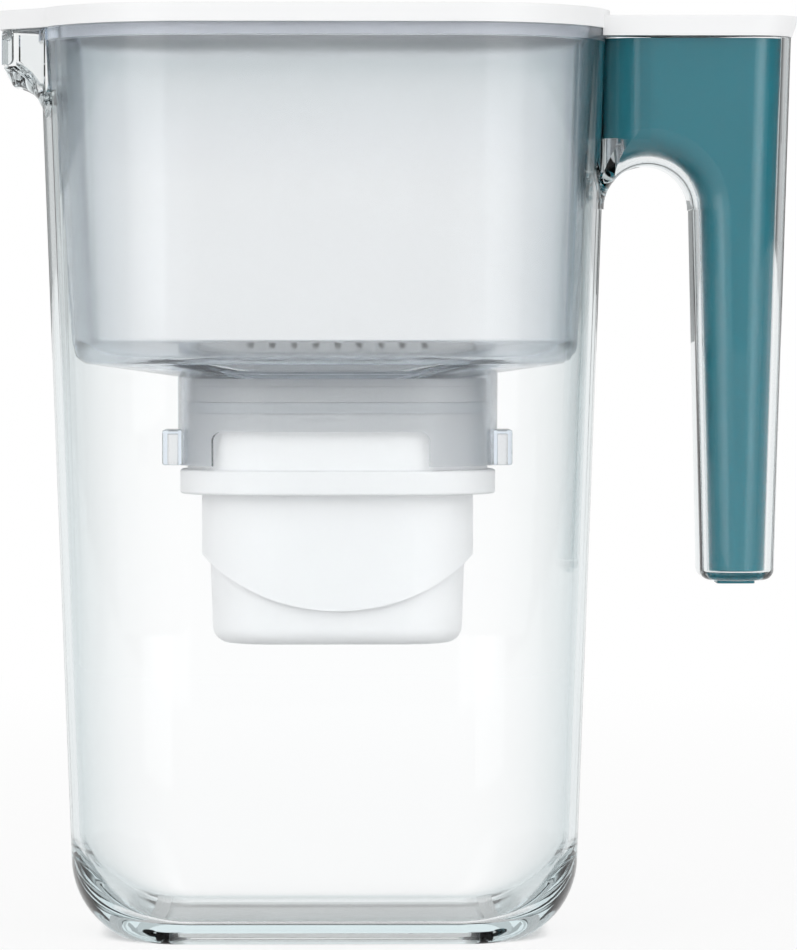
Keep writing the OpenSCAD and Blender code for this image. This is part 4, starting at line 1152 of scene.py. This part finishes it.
class PITCHER_OT_stage(Operator):
    """Make the floor, the light and the camera"""
    bl_idname = "pitcher.stage"
    bl_label = "Floor, light and camera"

    def execute(self, context):
        self.floor()
        self.room(context)
        self.lamps()
        self.camera(context)
        scene = context.scene
        scene.view_settings.view_transform = "Standard"
        scene.cycles.max_bounces = 32
        scene.cycles.transmission_bounces = 32
        scene.cycles.transparent_max_bounces = 32
        scene.cycles.glossy_bounces = 8
        return {"FINISHED"}

    def floor(self):
        bm = bmesh.new()
        bmesh.ops.create_grid(bm, x_segments=2, y_segments=2, size=30.0)
        floor = solid("floor", bm)
        finish = Finish("pale_floor")
        cloud = finish.noise(3.0, 2.0)
        matt = finish.plastic(
            Base_Color=finish.blend(cloud, (0.80, 0.80, 0.80), (0.82, 0.82, 0.82)), Roughness=0.9
        )
        white = finish.node("ShaderNodeEmission", None, {"Color": (1, 1, 1, 1), "Strength": 1.0})
        x, y = finish.along("X") - MID_X, finish.along("Y")
        away = (x * x + y * y) ** 0.5
        # painted shadow: the floor's white glow is cut back in a rounded rectangle under the foot,
        # so the floor shows darker there, on top of its rendered shadow
        shadow_len, shadow_wid = 66 * MM, 39.5 * MM
        along, across = x / shadow_len, y / shadow_wid
        foot = along * along * along * along + across * across * across * across
        beside, beyond, least = 0.55, 0.15, 0.30
        # fade is the share of white glow: least under the foot, which paints a shadow there
        fade = finish.step(foot, 0.8, 1.15) * beside + finish.step(away, 0.25, 1.1) * beyond + least
        both = finish.node(
            "ShaderNodeMixShader", None, {0: seen_through(finish) * fade, 1: matt, 2: white}
        )
        floor.data.materials.append(finish.done(both))

    # where each zone of the room starts and ends, as step takes them
    ROOF = (0.45, 0.8)              # up
    STRIPE = (0.35, 0.95)
    LAMP_BAND = ((0.18, 0.25), (0.60, 0.68))
    CORE_BAND = ((0.01, 0.05), (0.45, 0.60))
    CORE_ENDS = (0.40, 0.80)
    HELD_ENDS = (0.45, 0.95)
    BEHIND = (0.0, 0.1)             # along Y
    BEFORE = (-0.1, 0.0)
    ONCE = (0.2, 0.8)               # a ray's depth: 0 before its first bounce, 1 after it

    def room(self, context):
        """A white room. Each kind of ray through the clear plastic sees its own shades in it."""
        stage = context.scene.pitcher_stage
        world = bpy.data.worlds.new("studio")
        context.scene.world = world
        world.use_nodes = True
        room = Finish("studio", world.node_tree)
        heading = room.node("ShaderNodeTexCoord", output="Generated")
        x, y, z = (
            room.node("ShaderNodeSeparateXYZ", None, {0: heading}, output=axis) for axis in range(3)
        )
        level = x * x + y * y + 0.0001
        # 0 at each eighth of a turn from the Y axis, 1 half way between
        stripe = (x * y * (x * x - y * y) / (level * level)) ** 2.0 * 16.0
        low = 1 - room.step(z, *self.ROOF)
        through = 1 - room.step(stripe, *self.STRIPE) * low * (1 - stage.shade)
        # soft bands behind the object, where the two lamps stand before it
        slant = (x * x) / level
        start, stop = (room.step(slant, *edge) for edge in self.LAMP_BAND)
        bands = start * (1 - stop) * room.step(y, *self.BEHIND)
        mirrored = (bands * low + (1 - low)) * (1 - stage.dim) + stage.dim
        rays = {
            name: room.node("ShaderNodeLightPath", output=name)
            for name in (
                "Is Camera Ray", "Is Glossy Ray", "Is Transmission Ray",
                "Diffuse Depth", "Glossy Depth",
            )
        }
        first = 1 - room.step(rays["Diffuse Depth"], *self.ONCE)
        turned = room.step(rays["Glossy Depth"], *self.ONCE)
        # what is seen through clear plastic, what is mirrored, and what lights the things behind it
        passed = rays["Is Transmission Ray"]
        clear = passed * first
        gloss = rays["Is Glossy Ray"].either(passed) * first - clear
        inner = passed - clear
        plain = 1 - clear - gloss - inner - rays["Is Camera Ray"]
        # two bright bands before the object, which the handle's core mirrors through its shell
        start, stop = (room.step(slant, *edge) for edge in self.CORE_BAND)
        front = start * (1 - stop) * (1 - room.step(y, *self.BEFORE))
        ends = room.step(slant, *self.CORE_ENDS) * low * stage.side
        inside = front * low * (stage.glow - stage.half) + (1 - ends) * stage.half
        seen = through * (1 - turned) + inside * turned
        held = (1 - room.step(slant, *self.HELD_ENDS) * low * stage.side) * stage.inner
        shown = (
            rays["Is Camera Ray"] + clear * seen + gloss * mirrored + inner * held
            + plain * stage.level
        )
        light = room.node("ShaderNodeBackground", None, {"Color": (1, 1, 1, 1), "Strength": shown})
        room.node("ShaderNodeOutputWorld", None, {"Surface": light}, output=None)

    def lamps(self):
        """Two tall soft boxes before the object and one above it, turned to its middle."""
        middle = Vector((0, 0, 0.15))
        for name, spot, wide, high, power in (
            ("left_box", (-1.1, -1.3, 0.5), 0.9, 1.5, 5.0),
            ("right_box", (1.1, -1.3, 0.5), 0.9, 1.5, 5.0),
            ("top_box", (0.0, -0.2, 1.5), 1.6, 1.0, 3.0),
        ):
            data = bpy.data.lights.new(name, "AREA")
            data.shape = "RECTANGLE"
            data.size, data.size_y, data.energy = wide, high, power
            lamp = bpy.data.objects.new(name, data)
            bpy.context.scene.collection.objects.link(lamp)
            lamp.location = spot
            lamp.rotation_euler = (Vector(spot) - middle).to_track_quat("Z", "Y").to_euler()

    def camera(self, context):
        stage = context.scene.pitcher_stage
        data = bpy.data.cameras.new("camera")
        data.lens = stage.lens
        data.clip_start, data.clip_end = 0.05, 100.0
        camera = bpy.data.objects.new("camera", data)
        context.scene.collection.objects.link(camera)
        camera.location = (stage.camera_x, -stage.distance, stage.camera_z)
        camera.rotation_euler = Euler((pi / 2 - stage.pitch, 0, -stage.yaw))
        context.scene.camera = camera


def seen_through(finish):
    """1 for a ray from the camera, a mirror or clear plastic, and 0 for one that carries light."""
    camera = finish.node("ShaderNodeLightPath", output="Is Camera Ray")
    glossy = finish.node("ShaderNodeLightPath", output="Is Glossy Ray")
    through = finish.node("ShaderNodeLightPath", output="Is Transmission Ray")
    return camera.either(glossy).either(through)


class PITCHER_PT_panel(Panel):
    """Lists the pieces in the 3D view's sidebar"""
    bl_idname = "PITCHER_PT_panel"
    bl_label = "Water filter pitcher"
    bl_space_type = "VIEW_3D"
    bl_region_type = "UI"
    bl_category = "Pitcher"

    def draw(self, context):
        for operator in OPERATORS:
            self.layout.operator(operator.bl_idname)


SETTINGS = {
    "pitcher_jug": PitcherJug,
    "pitcher_spout": PitcherSpout,
    "pitcher_handle": PitcherHandle,
    "pitcher_hopper": PitcherHopper,
    "pitcher_cartridge": PitcherCartridge,
    "pitcher_colours": PitcherColours,
    "pitcher_stage": PitcherStage,
}
OPERATORS = (
    PITCHER_OT_jug,
    PITCHER_OT_handle_core,
    PITCHER_OT_hopper,
    PITCHER_OT_cartridge,
    PITCHER_OT_lid,
    PITCHER_OT_spout_flap,
    PITCHER_OT_stage,
)


def register():
    for group in SETTINGS.values():
        bpy.utils.register_class(group)
    for name, group in SETTINGS.items():
        setattr(bpy.types.Scene, name, PointerProperty(type=group))
    for item in (*OPERATORS, PITCHER_PT_panel):
        bpy.utils.register_class(item)


def unregister():
    for item in (PITCHER_PT_panel, *OPERATORS):
        bpy.utils.unregister_class(item)
    for name in SETTINGS:
        delattr(bpy.types.Scene, name)
    for group in SETTINGS.values():
        bpy.utils.unregister_class(group)


def main():
    register()
    for name in ("jug", "handle_core", "hopper", "cartridge", "lid", "spout_flap", "stage"):
        getattr(bpy.ops.pitcher, name)()


if __name__ == "__main__":
    main()
